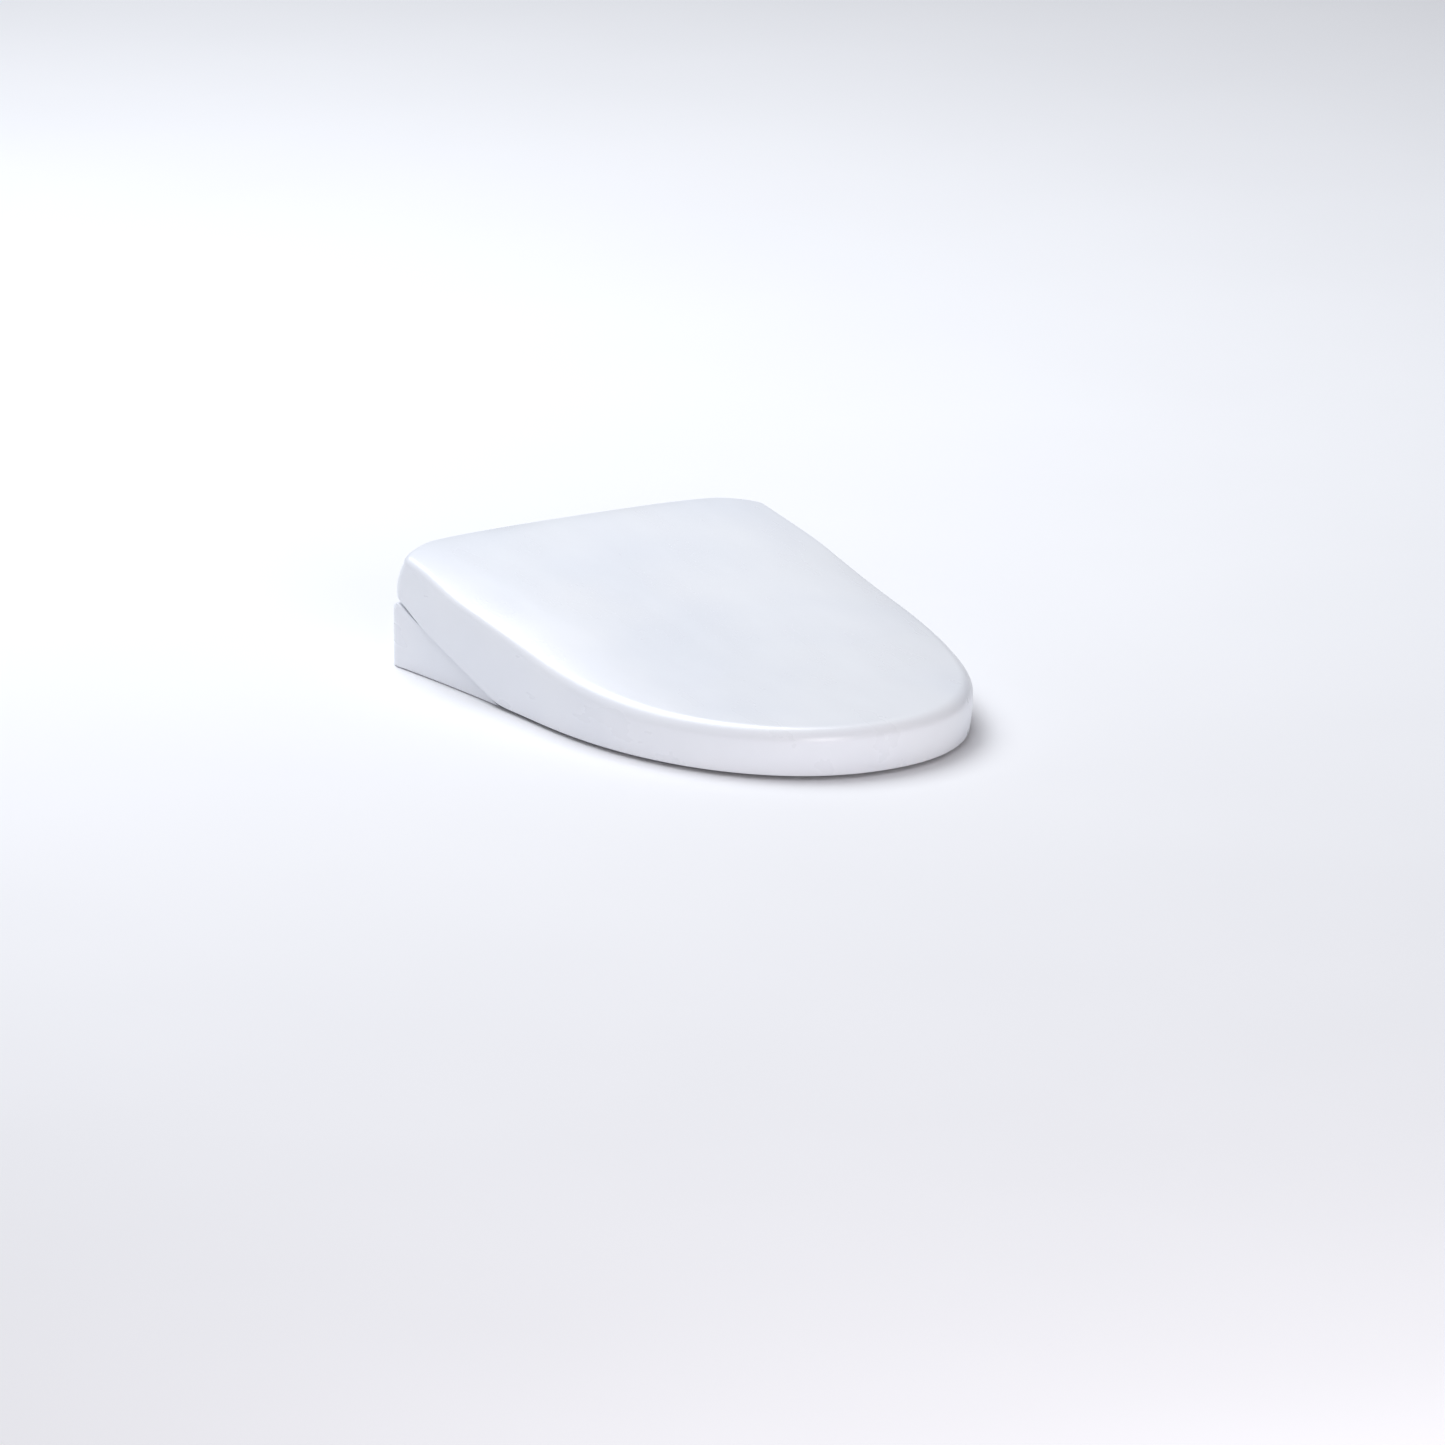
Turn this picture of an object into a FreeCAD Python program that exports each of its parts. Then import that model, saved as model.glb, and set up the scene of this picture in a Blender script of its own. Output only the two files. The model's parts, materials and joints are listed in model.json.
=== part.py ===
"""Electric bidet seat, built as the separate pieces it comes apart into.

Frame: millimetres, +Z up, the front of the seat towards -Y, +X on the seated
person's left.  The origin lies midway between the two fixing bolts, on the
plane that the seat rests on.  The object is symmetric about X = 0 apart from
the pieces inside the casing and the controls on its +X side.
"""
import FreeCAD, Part
import math
import os

import Sketcher

from FreeCAD import Placement, Rotation, Vector

doc = FreeCAD.newDocument("bidet_seat")

# ----------------------------------------------------------------- dimensions
DIMENSIONS = {
    # plan outline of the lid
    "front_reach": 471,        # bolt line to front tip
    "corner_reach": 52,        # bolt line to the rear corners
    "rear_bulge": 8,           # the rear edge bows out by this much
    "rear_half": 195,          # half width at the rear corners
    "middle_half": 179.5,      # half width where the front curve begins
    "middle_reach": 193,       # bolt line to where the front curve begins
    "corner_radius": 27.5,
    # lid
    "skin": 3.5,               # lid wall
    "lid_gap": 3,              # lid lower edge above the resting plane
    "lid_slope_reach": 129,    # where the lower edge starts to climb
    "lid_rear_edge": 69,       # lower edge height at the rear corners
    "lid_edge_round": 8,
    "tail_edge": 81,           # lower edge of the lid's rear wall
    # hinge line shared by seat and lid
    "axis_reach": 39,
    "axis_height": 68,
    "shaft_radius": 4,
    "shaft_clearance": 0.05,
    "knuckle_radius": 8,
    # casing
    "case_wall": 3,
    "case_front": 90,
    "case_rear": 48,
    "case_half": 154,
    "case_inset": 4.5,         # casing outline inside the lid outline
    "split_height": 30,        # lower case meets upper case
    "case_base": 3,
    "case_floor": 9,
    "barrel_radius": 14,
    # seat ring
    "seat_inset": 9,
    "seat_rear": 96,
    "seat_base": 7,
    "seat_split": 17,
    "seat_skin": 3.5,
    "hole_half": 107,
    "hole_length": 250,
    "hole_centre": 275,
    "arm_inner": 156,
    "arm_width": 13,
    # fixings
    "bolt_spacing": 140,
    "bolt_hole_radius": 4.25,
    "collar_radius": 10,
    "plate_width": 250,
    "plate_depth": 76,
    "plate_thick": 5,
    "pad_thick": 1.5,
    # wand
    "wand_angle": 28,
    "wand_radius": 8,
    "wand_length": 112,
    "wand_tip_reach": 82,
    "wand_tip_height": 18,
    "tooth_module": 1,
    "pinion_teeth": 16,
    # small parts
    "screw_radius": 2,
    "button_radius": 4.2,
    "thread_radius": 10.4,
}

sheet = doc.addObject("Spreadsheet::Sheet", "dims")
for row, (alias, value) in enumerate(DIMENSIONS.items(), start=1):
    sheet.set("A%d" % row, alias.replace("_", " "))
    sheet.set("B%d" % row, str(value))
    sheet.setAlias("B%d" % row, alias)
doc.recompute()

pieces = []                    # every object that is written to a file


def dim(alias):
    """Value of one cell of the sheet."""
    return float(sheet.get(alias))


def keep(obj, label):
    """Name an object as one piece of the assembly."""
    obj.Label = label
    pieces.append(obj)
    return obj


def text(value):
    """Write a size as an expression: cell names get the sheet's prefix."""
    if not isinstance(value, str):
        return repr(round(float(value), 4))
    words = value.replace("(", " ( ").replace(")", " ) ").split()
    return " ".join("dims." + word if word in DIMENSIONS else word for word in words)


def bind(obj, **properties):
    """Bind properties of an object to cells of the sheet."""
    for name, value in properties.items():
        obj.setExpression(name.replace("_", ".") if name.startswith("Placement") else name, text(value))
    return obj


def place(obj, at):
    """Bind the three coordinates of an object's placement."""
    for letter, value in zip("xyz", at):
        obj.setExpression("Placement.Base.%s" % letter, text(value))
    return obj


def box(name, size, at):
    """Box with its lowest corner at a point."""
    obj = doc.addObject("Part::Box", name)
    bind(obj, Length=size[0], Width=size[1], Height=size[2])
    return place(obj, at)


def cylinder(name, radius, height, at, axis="z"):
    """Cylinder standing on a point, along X, Y or Z."""
    obj = doc.addObject("Part::Cylinder", name)
    turn = {"x": Rotation(Vector(0, 1, 0), 90), "y": Rotation(Vector(1, 0, 0), -90), "z": Rotation()}
    obj.Placement = Placement(Vector(), turn[axis])
    bind(obj, Radius=radius, Height=height)
    return place(obj, at)


def fuse(name, *shapes):
    """Several overlapping shapes as one solid."""
    result = doc.addObject("Part::MultiFuse", name + "_fuse")
    result.Shapes = list(shapes)
    result.Refine = True
    return result


def group(name, *shapes):
    """Several separate solids as one piece."""
    result = doc.addObject("Part::Compound", name + "_group")
    result.Links = list(shapes)
    return result


def rounded(name, base, radius, edge_test):
    """Fillet the edges that pass a test."""
    doc.recompute()
    result = doc.addObject("Part::Fillet", name + "_fillet")
    result.Base = base
    result.Edges = [
        (index, radius, radius)
        for index, edge in enumerate(base.Shape.Edges, start=1)
        if edge_test(edge)
    ]
    return result


def feature(name, shape):
    """A shape made with Part's own functions, as one piece."""
    obj = doc.addObject("Part::Feature", name)
    obj.Shape = shape
    return keep(obj, name)


def upright(edge):
    """True for straight edges along Z."""
    if edge.Curve.TypeId != "Part::GeomLine":
        return False
    return abs(edge.tangentAt(edge.FirstParameter).z) > 0.999


def origin_plane(body, role):
    """One of a body's own origin planes."""
    return next(item for item in body.Origin.OriginFeatures if item.Role == role)


def new_body(name, at):
    """Empty PartDesign body placed at a point."""
    body = doc.addObject("PartDesign::Body", name)
    return place(body, at)


def new_sketch(body, name, role="XY_Plane"):
    """Sketch attached to one of the body's origin planes."""
    sketch = body.newObject("Sketcher::SketchObject", name)
    sketch.AttachmentSupport = [(origin_plane(body, role), "")]
    sketch.MapMode = "FlatFace"
    return sketch


def sketch_box(sketch, width, height, centre=(0, 0)):
    """Rectangle about a centre, its sides driven by the sheet."""
    from_left, from_base = centre
    half_w, half_h = 5.0, 5.0
    corners = [(-half_w, -half_h), (half_w, -half_h), (half_w, half_h), (-half_w, half_h)]
    first = sketch.GeometryCount
    for start, end in zip(corners, corners[1:] + corners[:1]):
        a = Vector(start[0] + from_left, start[1] + from_base, 0)
        b = Vector(end[0] + from_left, end[1] + from_base, 0)
        sketch.addGeometry(Part.LineSegment(a, b), False)
    for side in range(4):
        sketch.addConstraint(Sketcher.Constraint("Coincident", first + side, 2, first + (side + 1) % 4, 1))
    for side in (0, 2):
        sketch.addConstraint(Sketcher.Constraint("Horizontal", first + side))
    for side in (1, 3):
        sketch.addConstraint(Sketcher.Constraint("Vertical", first + side))
    sizes = (("DistanceX", first, 1, first, 2, 2 * half_w, width),
             ("DistanceY", first + 1, 1, first + 1, 2, 2 * half_h, height))
    for kind, g1, p1, g2, p2, value, size in sizes:
        index = sketch.addConstraint(Sketcher.Constraint(kind, g1, p1, g2, p2, value))
        sketch.setExpression("Constraints[%d]" % index, text(size))
    offsets = (("DistanceX", half_w, width, from_left), ("DistanceY", half_h, height, from_base))
    for kind, value, size, shift in offsets:
        near = value - shift
        if near > 0:
            index = sketch.addConstraint(Sketcher.Constraint(kind, first, 1, -1, 1, near))
            sketch.setExpression("Constraints[%d]" % index, "( %s ) / 2 - %s" % (text(size), text(shift)))
        else:
            index = sketch.addConstraint(Sketcher.Constraint(kind, -1, 1, first, 1, -near))
            sketch.setExpression("Constraints[%d]" % index, "%s - ( %s ) / 2" % (text(shift), text(size)))
    return sketch


def sketch_circle(sketch, radius, centre=(0, 0)):
    """Circle about a centre, its radius driven by the sheet."""
    index = sketch.addGeometry(Part.Circle(Vector(centre[0], centre[1], 0), Vector(0, 0, 1), 5.0), False)
    number = sketch.addConstraint(Sketcher.Constraint("Radius", index, 5.0))
    sketch.setExpression("Constraints[%d]" % number, text(radius))
    return sketch


# ------------------------------------------------------------ shared outlines
FRONT = -dim("front_reach")
CORNER = dim("corner_reach")
MIDDLE = -dim("middle_reach")
AXIS = Vector(0, dim("axis_reach"), dim("axis_height"))
SCREWS = ((-146, -70), (146, -70), (-146, 20), (146, 20))
FRONT_POWER = 2.13             # slightly fuller than an ellipse
EAR = (dim("arm_inner") + dim("arm_width") + 1.5, dim("arm_inner") + dim("arm_width") + 5.8)


def half_width(y, inset):
    """Half width of the plan outline at a distance along Y."""
    middle = dim("middle_half") - inset
    if y >= MIDDLE:
        share = (y - MIDDLE) / (CORNER - MIDDLE)
        return middle + (dim("rear_half") - dim("middle_half")) * share ** 2
    share = (MIDDLE - y) / (MIDDLE - FRONT - inset)
    return middle * max(0.0, 1 - share ** FRONT_POWER) ** (1 / FRONT_POWER)


def outline(inset, height):
    """Closed wire of the plan outline, drawn in by an inset."""
    radius = max(dim("corner_radius") - inset, 4)
    rear = CORNER - inset
    turn_y = rear - radius
    wide = half_width(turn_y, inset)
    side = [(half_width(y, inset), y) for y in (turn_y, turn_y * 0.6 + MIDDLE * 0.4, MIDDLE)]
    steps = 9
    for step in range(1, steps + 1):
        angle = math.pi / 2 * step / steps
        y = MIDDLE - (MIDDLE - FRONT - inset) * math.sin(angle) ** (2 / FRONT_POWER)
        side.append((half_width(y, inset) if step < steps else 0.0, y))
    right = [Vector(x, y, height) for x, y in side]
    left = [Vector(-x, y, height) for x, y in side[-2::-1]]
    curve = Part.BSplineCurve()
    curve.interpolate(right + left)
    bend = radius * (1 - math.sqrt(0.5))

    def corner(sign):
        start = Vector(sign * wide, turn_y, height)
        through = Vector(sign * (wide - bend), rear - bend, height)
        end = Vector(sign * (wide - radius), rear, height)
        return Part.Arc(start, through, end).toShape()

    back = Part.Arc(
        Vector(radius - wide, rear, height),
        Vector(0, rear + dim("rear_bulge"), height),
        Vector(wide - radius, rear, height),
    ).toShape()
    edges = [curve.toShape(), corner(-1), back, corner(1)]
    return Part.Wire(Part.__sortEdges__(edges))


def outline_solid(inset, low, high):
    """The plan outline as an upright block."""
    face = Part.Face(outline(inset, low))
    return face.extrude(Vector(0, 0, high - low))


def side_block(points, half_x, centre_x=0.0):
    """A side view drawn as (y, z) points, carried across X."""
    start = centre_x - half_x
    corners = [Vector(start, y, z) for y, z in points]
    face = Part.Face(Part.makePolygon(corners + corners[:1]))
    return face.extrude(Vector(2 * half_x, 0, 0))


def block(low, high):
    """Box between two corners."""
    size = [high[i] - low[i] for i in range(3)]
    return Part.makeBox(size[0], size[1], size[2], Vector(*low))


def rod(radius, start_x, end_x, centre=AXIS):
    """Round bar along X, by default on the hinge line."""
    base = Vector(start_x, centre.y, centre.z)
    return Part.makeCylinder(radius, end_x - start_x, base, Vector(1, 0, 0))


def mirrored(shape):
    """The same shape on the other side of X = 0."""
    return shape.mirror(Vector(0, 0, 0), Vector(1, 0, 0))


def lower_edge(y):
    """Height of the lid's lower edge along its side."""
    start = -dim("lid_slope_reach")
    if y < start:
        return dim("lid_gap")
    return dim("lid_gap") + (dim("lid_rear_edge") - dim("lid_gap")) * (y - start) / (CORNER - start)


def crowned_block(drop):
    """Everything under the lid's crowned top, lowered by a drop."""
    sections = []
    stations = ((70, 92, 7), (48, 100, 7), (20, 102, 7), (-50, 93, 7), (-150, 77, 6),
                (-250, 62, 5), (-350, 51.5, 4), (-430, 47.5, 3), (-490, 45.5, 3))
    for y, centre, sag in stations:
        arc = Part.Arc(
            Vector(-205, y, centre - sag - drop),
            Vector(0, y, centre - drop),
            Vector(205, y, centre - sag - drop),
        ).toShape()
        foot = Part.makePolygon([
            Vector(205, y, centre - sag - drop),
            Vector(205, y, -20),
            Vector(-205, y, -20),
            Vector(-205, y, centre - sag - drop),
        ])
        sections.append(Part.Wire([arc] + foot.Edges))
    return Part.makeLoft(sections, True, False)


# ------------------------------------------------------------------------ lid
def make_lid():
    """Lid cover, its inner liner with the hinge ears, bushes and buffers."""
    skin = dim("skin")
    below_edge = side_block(
        [(-600, -40), (-600, dim("lid_gap")), (-dim("lid_slope_reach"), dim("lid_gap")),
         (CORNER, dim("lid_rear_edge")), (90, dim("lid_rear_edge")), (90, -40)], 230)
    outer = outline_solid(0, -10, 130).common(crowned_block(0)).cut(below_edge)
    crest = [
        edge for edge in outer.Edges
        if edge.BoundBox.ZMax > 40 and not (edge.BoundBox.ZLength > 60 and edge.BoundBox.YLength < 1)
        and edge.BoundBox.ZMin > 38 and edge.BoundBox.DiagonalLength > 25
        and edge.CenterOfMass.z > lower_edge(edge.CenterOfMass.y) + 20
    ]
    for radius in (dim("lid_edge_round"), 6, 4, 2):
        try:
            smooth = outer.makeFillet(radius, crest)
        except Part.OCCError:
            continue
        if smooth.isValid() and smooth.Volume > 0.9 * outer.Volume:
            outer = smooth
            break
    inner = outline_solid(skin, -20, 120).common(crowned_block(skin))
    notch = block((-dim("arm_inner"), 40, 40), (dim("arm_inner"), 90, dim("tail_edge")))
    cover = outer.cut(inner).cut(notch)
    feature("lid_cover", cover)

    gap = 0.3
    liner_top = crowned_block(skin + gap)
    liner_low = crowned_block(skin + gap + 2)
    area = outline_solid(16, -20, 120).common(block((-150, -440, -20), (150, 20, 120)))
    field = area.common(liner_top).cut(liner_low)
    ribs = []
    for y in (-330, -230, -130, -30):
        ribs.append(block((-120, y - 1.5, -20), (120, y + 1.5, 120)))
    rib_zone = liner_top.cut(crowned_block(skin + gap + 6))
    for rib in ribs:
        field = field.fuse(rib.common(rib_zone))
    feature("lid_liner", field.removeSplitter())

    ears = []
    bushes = []
    for side, sign in (("left", -1), ("right", 1)):
        ear = block((EAR[0], AXIS.y - 12, AXIS.z), (EAR[1], AXIS.y + 4, 130))
        ear = ear.fuse(block((150, AXIS.y - 14, 60), (EAR[1], AXIS.y + 3, 130)).common(
            liner_top.cut(crowned_block(skin + gap + 3))))
        ear = ear.common(liner_top).fuse(rod(dim("knuckle_radius") - 1, *EAR))
        ear = ear.cut(rod(dim("shaft_radius") + 1.5, EAR[0] - 1, EAR[1] + 1)).removeSplitter()
        bush = rod(dim("shaft_radius") + 1.5, *EAR)
        bush = bush.cut(rod(dim("shaft_radius") + dim("shaft_clearance"), EAR[0] - 1, EAR[1] + 1))
        if sign < 0:
            ear, bush = mirrored(ear), mirrored(bush)
        ears.append(ear)
        bushes.append(bush)
    feature("lid_hinge_ears", Part.makeCompound(ears))
    feature("lid_bushes", Part.makeCompound(bushes))

    buffers = []
    for x, y in ((-75, -400), (75, -400), (-140, -200), (140, -200)):
        zone = Part.makeCylinder(7, 140, Vector(x, y, -20))
        buffers.append(zone.common(liner_low).cut(block((-200, -500, -30), (200, 100, seat_height(y) + 1.2))))
    feature("lid_buffers", Part.makeCompound(buffers))


# ----------------------------------------------------------------- seat ring
def seat_height(y):
    """Height of the seat's top surface, flat in front and rising behind."""
    rise = max(0.0, y + 260) / (260 - dim("seat_rear"))
    return 36 + 8 * rise ** 2


def ring_hole(grow, low, high):
    """Oval opening of the ring as an upright block."""
    long_half = dim("hole_length") / 2 + grow
    wide_half = dim("hole_half") + grow
    centre = Vector(0, -dim("hole_centre"), low)
    curve = Part.Ellipse(
        Vector(0, -dim("hole_centre") + long_half, low),
        Vector(wide_half, -dim("hole_centre"), low),
        centre,
    )
    return Part.Face(Part.Wire(curve.toShape())).extrude(Vector(0, 0, high - low))


def seat_top_block(drop):
    """Everything under the seat's top surface, lowered by a drop."""
    stations = [-500, -400, -320, -260, -220, -180, -140, -dim("seat_rear"), -80]
    points = [Vector(-200, y, seat_height(y) - drop) for y in stations]
    curve = Part.BSplineCurve()
    curve.interpolate(points)
    foot = Part.makePolygon([points[-1], Vector(-200, -80, -20), Vector(-200, -500, -20), points[0]])
    face = Part.Face(Part.Wire([curve.toShape()] + foot.Edges))
    return face.extrude(Vector(400, 0, 0))


def make_seat():
    """Seat ring: top shell, base plate with hinge arms, heater and feet."""
    inset = dim("seat_inset")
    rear = -dim("seat_rear")
    split = dim("seat_split")
    behind = block((-230, rear, -40), (230, 120, 140))
    port = block((-26, -155, 0), (26, -90, 31))
    outer = outline_solid(inset, split, 90).common(seat_top_block(0)).cut(behind)
    rim = [
        edge for edge in outer.Edges
        if edge.CenterOfMass.z > split + 8 and edge.Length > 60 and edge.BoundBox.ZMin > split + 6
    ]
    for radius in (8, 6, 4):
        try:
            smooth = outer.makeFillet(radius, rim)
        except Part.OCCError:
            continue
        if smooth.isValid():
            outer = smooth
            break
    shell = outer.cut(ring_hole(0, split - 5, 90))
    hollow = outline_solid(inset + dim("seat_skin"), split - 1, 90)
    hollow = hollow.common(seat_top_block(dim("seat_skin") + 0.5))
    hollow = hollow.cut(block((-230, rear - dim("seat_skin"), -40), (230, 120, 140)))
    hollow = hollow.cut(ring_hole(dim("seat_skin"), split - 5, 90))
    roof = block((-30, -165, 0), (30, -90, 34.5))
    shell = shell.cut(hollow.cut(roof)).cut(port)
    feature("seat_top", shell)

    foil = outline_solid(inset + 12, 24, 24.8).cut(ring_hole(11, 20, 30))
    foil = foil.cut(block((-230, -185, 0), (230, 120, 140)))
    feature("seat_heater", foil)

    plate = outline_solid(inset + 0.5, dim("seat_base"), split)
    plate = plate.cut(ring_hole(0.5, 0, 60)).cut(behind).cut(port)
    arms = []
    sleeves = []
    profile = [(rear - 10, 13), (rear - 10, 26), (rear + 6, 39), (AXIS.y - 3, AXIS.z + 7.4),
               (AXIS.y - 1, AXIS.z - 7), (rear + 10, 24), (rear + 1, 13)]
    for sign in (-1, 1):
        centre = sign * (dim("arm_inner") + dim("arm_width") / 2)
        arm = side_block(profile, dim("arm_width") / 2, centre)
        ends = sorted((sign * dim("arm_inner"), sign * (dim("arm_inner") + dim("arm_width"))))
        arm = arm.fuse(rod(dim("knuckle_radius"), ends[0], ends[1]))
        arm = arm.cut(rod(dim("shaft_radius") + 1.5, ends[0] - 1, ends[1] + 1))
        arms.append(arm)
        sleeve = rod(dim("shaft_radius") + 1.5, ends[0], ends[1])
        sleeve = sleeve.cut(rod(dim("shaft_radius") + dim("shaft_clearance"), ends[0] - 1, ends[1] + 1))
        sleeves.append(sleeve)
    feature("seat_bushes", Part.makeCompound(sleeves))
    shell_zone = outline_solid(inset, split, 90).cut(behind)
    for side, arm in zip(("left", "right"), arms):
        feature("seat_arm_" + side, arm.cut(shell_zone).cut(plate))
    feature("seat_base", plate)

    feet = []
    for x, y in ((-62, -428), (62, -428), (-143, -250), (143, -250), (-140, -120), (140, -120)):
        foot = block((x - 14, y - 6, 0), (x + 14, y + 6, dim("seat_base")))
        foot = foot.makeFillet(3, [edge for edge in foot.Edges if upright(edge)])
        feet.append(foot)
    feature("seat_feet", Part.makeCompound(feet))


# -------------------------------------------------------------------- casing
def case_profile(wall):
    """Side view of the central casing, drawn in by a wall, as a block."""
    front = -dim("case_front") + wall
    rear = dim("case_rear") - wall
    neck = dim("case_rear") - 6 - wall
    points = [(front, dim("case_base") - 10), (front, 70 - wall), (20, 83 - wall),
              (AXIS.y - 4, 81.5 - wall), (AXIS.y, AXIS.z - 5), (neck, 50),
              (neck, 40 - wall), (rear, 39.5 - wall), (rear, dim("case_base") - 10)]
    solid = side_block(points, dim("case_half") - wall)
    barrel = rod(dim("barrel_radius") - wall, wall - dim("case_half"), dim("case_half") - wall)
    return solid.fuse(barrel).removeSplitter()


def wand_frame():
    """Placement whose +X runs down the wand from its rear end."""
    tilt = math.radians(dim("wand_angle"))
    along = Vector(0, -math.cos(tilt), -math.sin(tilt))
    tip = Vector(0, -dim("wand_tip_reach"), dim("wand_tip_height"))
    rear = tip - along * dim("wand_length")
    side = Vector(1, 0, 0)
    up = along.cross(side)
    if up.z < 0:
        up = up * -1
    side = up.cross(along)
    matrix = FreeCAD.Matrix(
        along.x, side.x, up.x, rear.x,
        along.y, side.y, up.y, rear.y,
        along.z, side.z, up.z, rear.z,
        0, 0, 0, 1)
    return Placement(matrix)


def placed(shape, placement):
    """Copy of a shape at a placement, with the placement made part of it."""
    copy = shape.copy()
    copy.Placement = placement.multiply(copy.Placement)
    return copy


def make_casing():
    """Lower case, deck cover, side panels and rear cover."""
    wall = dim("case_wall")
    inset = dim("case_inset")
    split = dim("split_height")
    front = -dim("case_front")
    half = dim("case_half")
    ahead = block((-230, -600, -40), (230, front, 140))
    slope = side_block(
        [(-600, dim("lid_gap") - 2), (-dim("lid_slope_reach"), dim("lid_gap") - 2),
         (CORNER, dim("lid_rear_edge") - 2), (90, dim("lid_rear_edge") - 2), (90, 160), (-600, 160)], 230)
    centre_zone = block((-half - 0.2, -200, -40), (half + 0.2, 120, 160))
    side_slope = slope.cut(centre_zone)

    outer = outline_solid(inset, dim("case_base"), split).cut(ahead).cut(side_slope)
    inner = outline_solid(inset + wall, dim("case_base") - 5, split + 5).cut(
        block((-230, -600, -40), (230, front + wall, 140)))
    floor_low = dim("case_floor")
    floor = outline_solid(inset + wall - 0.5, floor_low, floor_low + wall).cut(
        block((-230, -600, -40), (230, front + wall - 0.5, 140))).cut(side_slope)
    port = block((-23, front - 5, -5), (23, front + 30, split + 5))
    tray = outer.cut(inner).fuse(floor).removeSplitter().cut(port)
    tray = tray.cut(block((-100, CORNER - 20, 3), (100, 80, split + 10)))
    tray = tray.cut(Part.makeCylinder(dim("thread_radius") + 1.2, 60, Vector(125, 30, 26), Vector(0, 1, 0)))
    tray = tray.cut(Part.makeCylinder(7.3, 60, Vector(-125, 30, 22), Vector(0, 1, 0)))
    for x in (-70, 70):
        tray = tray.cut(Part.makeCylinder(11, 30, Vector(x, 0, 0)))
    tray = tray.cut(block((148, -42, 5), (200, -22, 19)))
    rib = block((158.5, -44, 4), (161, -20, 11)).cut(
        Part.makeCylinder(2.7, 10, Vector(155, -32, 6.2), Vector(1, 0, 0)))
    tray = tray.fuse(rib).removeSplitter()
    for x, y in SCREWS:
        tray = tray.cut(Part.makeCylinder(dim("screw_radius") + 0.1, 20, Vector(x, y, 2)))
    feature("lower_case", tray)

    deck = case_profile(0).cut(case_profile(wall))
    deck = deck.cut(block((-200, -200, -40), (200, 120, split + 0.2)))
    deck = deck.cut(block((-32, front - 5, split - 2), (32, front + 5, split + 12)))
    for sign in (-1, 1):
        deck = deck.cut(rod(dim("shaft_radius") + 0.1, *sorted((sign * (half - wall - 2), sign * (half + 2)))))
    deck = deck.cut(block((-30, front - 2, 49), (30, front + wall + 2, 59)))
    deck = deck.cut(Part.makeCylinder(9.2, 20, Vector(112, -30, 66)))
    deck = deck.cut(Part.makeCylinder(dim("thread_radius") + 1.2, 60, Vector(125, 42, 26), Vector(0, 1, 0)))
    feature("deck_cover", deck)

    shelf = outline_solid(inset, split + 0.2, 160).cut(ahead).cut(slope)
    shelf = shelf.common(block((half + 0.3, -200, 0), (230, 120, 160)))
    shelf = shelf.cut(block((-230, 29, 51.5), (230, 120, 160)))
    hollow = outline_solid(inset + wall, split - 5, 160).cut(
        block((-half - 0.3 - wall, -200, 0), (half + 0.3 + wall, 120, 160)))
    roof = side_block(
        [(-600, dim("lid_gap") - 5), (-dim("lid_slope_reach"), dim("lid_gap") - 5),
         (CORNER, dim("lid_rear_edge") - 5), (90, dim("lid_rear_edge") - 5), (90, 160), (-600, 160)], 230)
    inside = hollow.cut(roof).cut(block((-230, 26, 48.5), (230, 120, 160)))
    walls = shelf.cut(inside)
    fence_low = dim("arm_inner") + dim("arm_width") + 1.5
    trench = block((half - 1, -200, split + 3.2), (fence_low, 120, 160))
    sill = block((half + 0.3, -200, split + 0.2), (fence_low + 2, 120, split + 3.2)).common(shelf)
    panel = walls.cut(trench).fuse(sill).removeSplitter()
    fence = shelf.common(block((fence_low, -200, 0), (fence_low + 2, 120, 160)))
    panel = panel.fuse(fence).removeSplitter()
    left = mirrored(panel)
    opening = block((150, -16.7, 31.6), (200, 24.7, 41.4))
    panel = panel.cut(opening.cut(outline_solid(inset + wall + 0.3, 0, 80)))
    panel = panel.cut(outline_solid(0, 0, 80).cut(outline_solid(inset + 1, 0, 80)).common(
        block((150, -19, 30.8), (200, 27, 42.2))))
    feature("side_panel_right", panel)
    feature("side_panel_left", left)

    back = outline_solid(inset, dim("case_base"), split - 0.3).cut(outline_solid(inset + 2.5, 0, 60))
    back = back.common(block((-99.7, CORNER - 19, 0), (99.7, 80, 60)))
    for index in range(9):
        slot_x = -60 + index * 7
        back = back.cut(block((slot_x, 30, 12), (slot_x + 3, 90, 25)))
    feature("rear_cover", back)


# ---------------------------------------------------------------------- wand
def rack_tooth_gap(pitch):
    """Cross-section of the space between two rack teeth, as (x, y) points."""
    module = dim("tooth_module")
    lean = module * math.tan(math.radians(20))
    half_space = pitch / 4 + 0.3
    return [(-half_space - lean, module), (half_space + lean, module),
            (half_space - 1.25 * lean, -1.25 * module), (-half_space + 1.25 * lean, -1.25 * module)]


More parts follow.
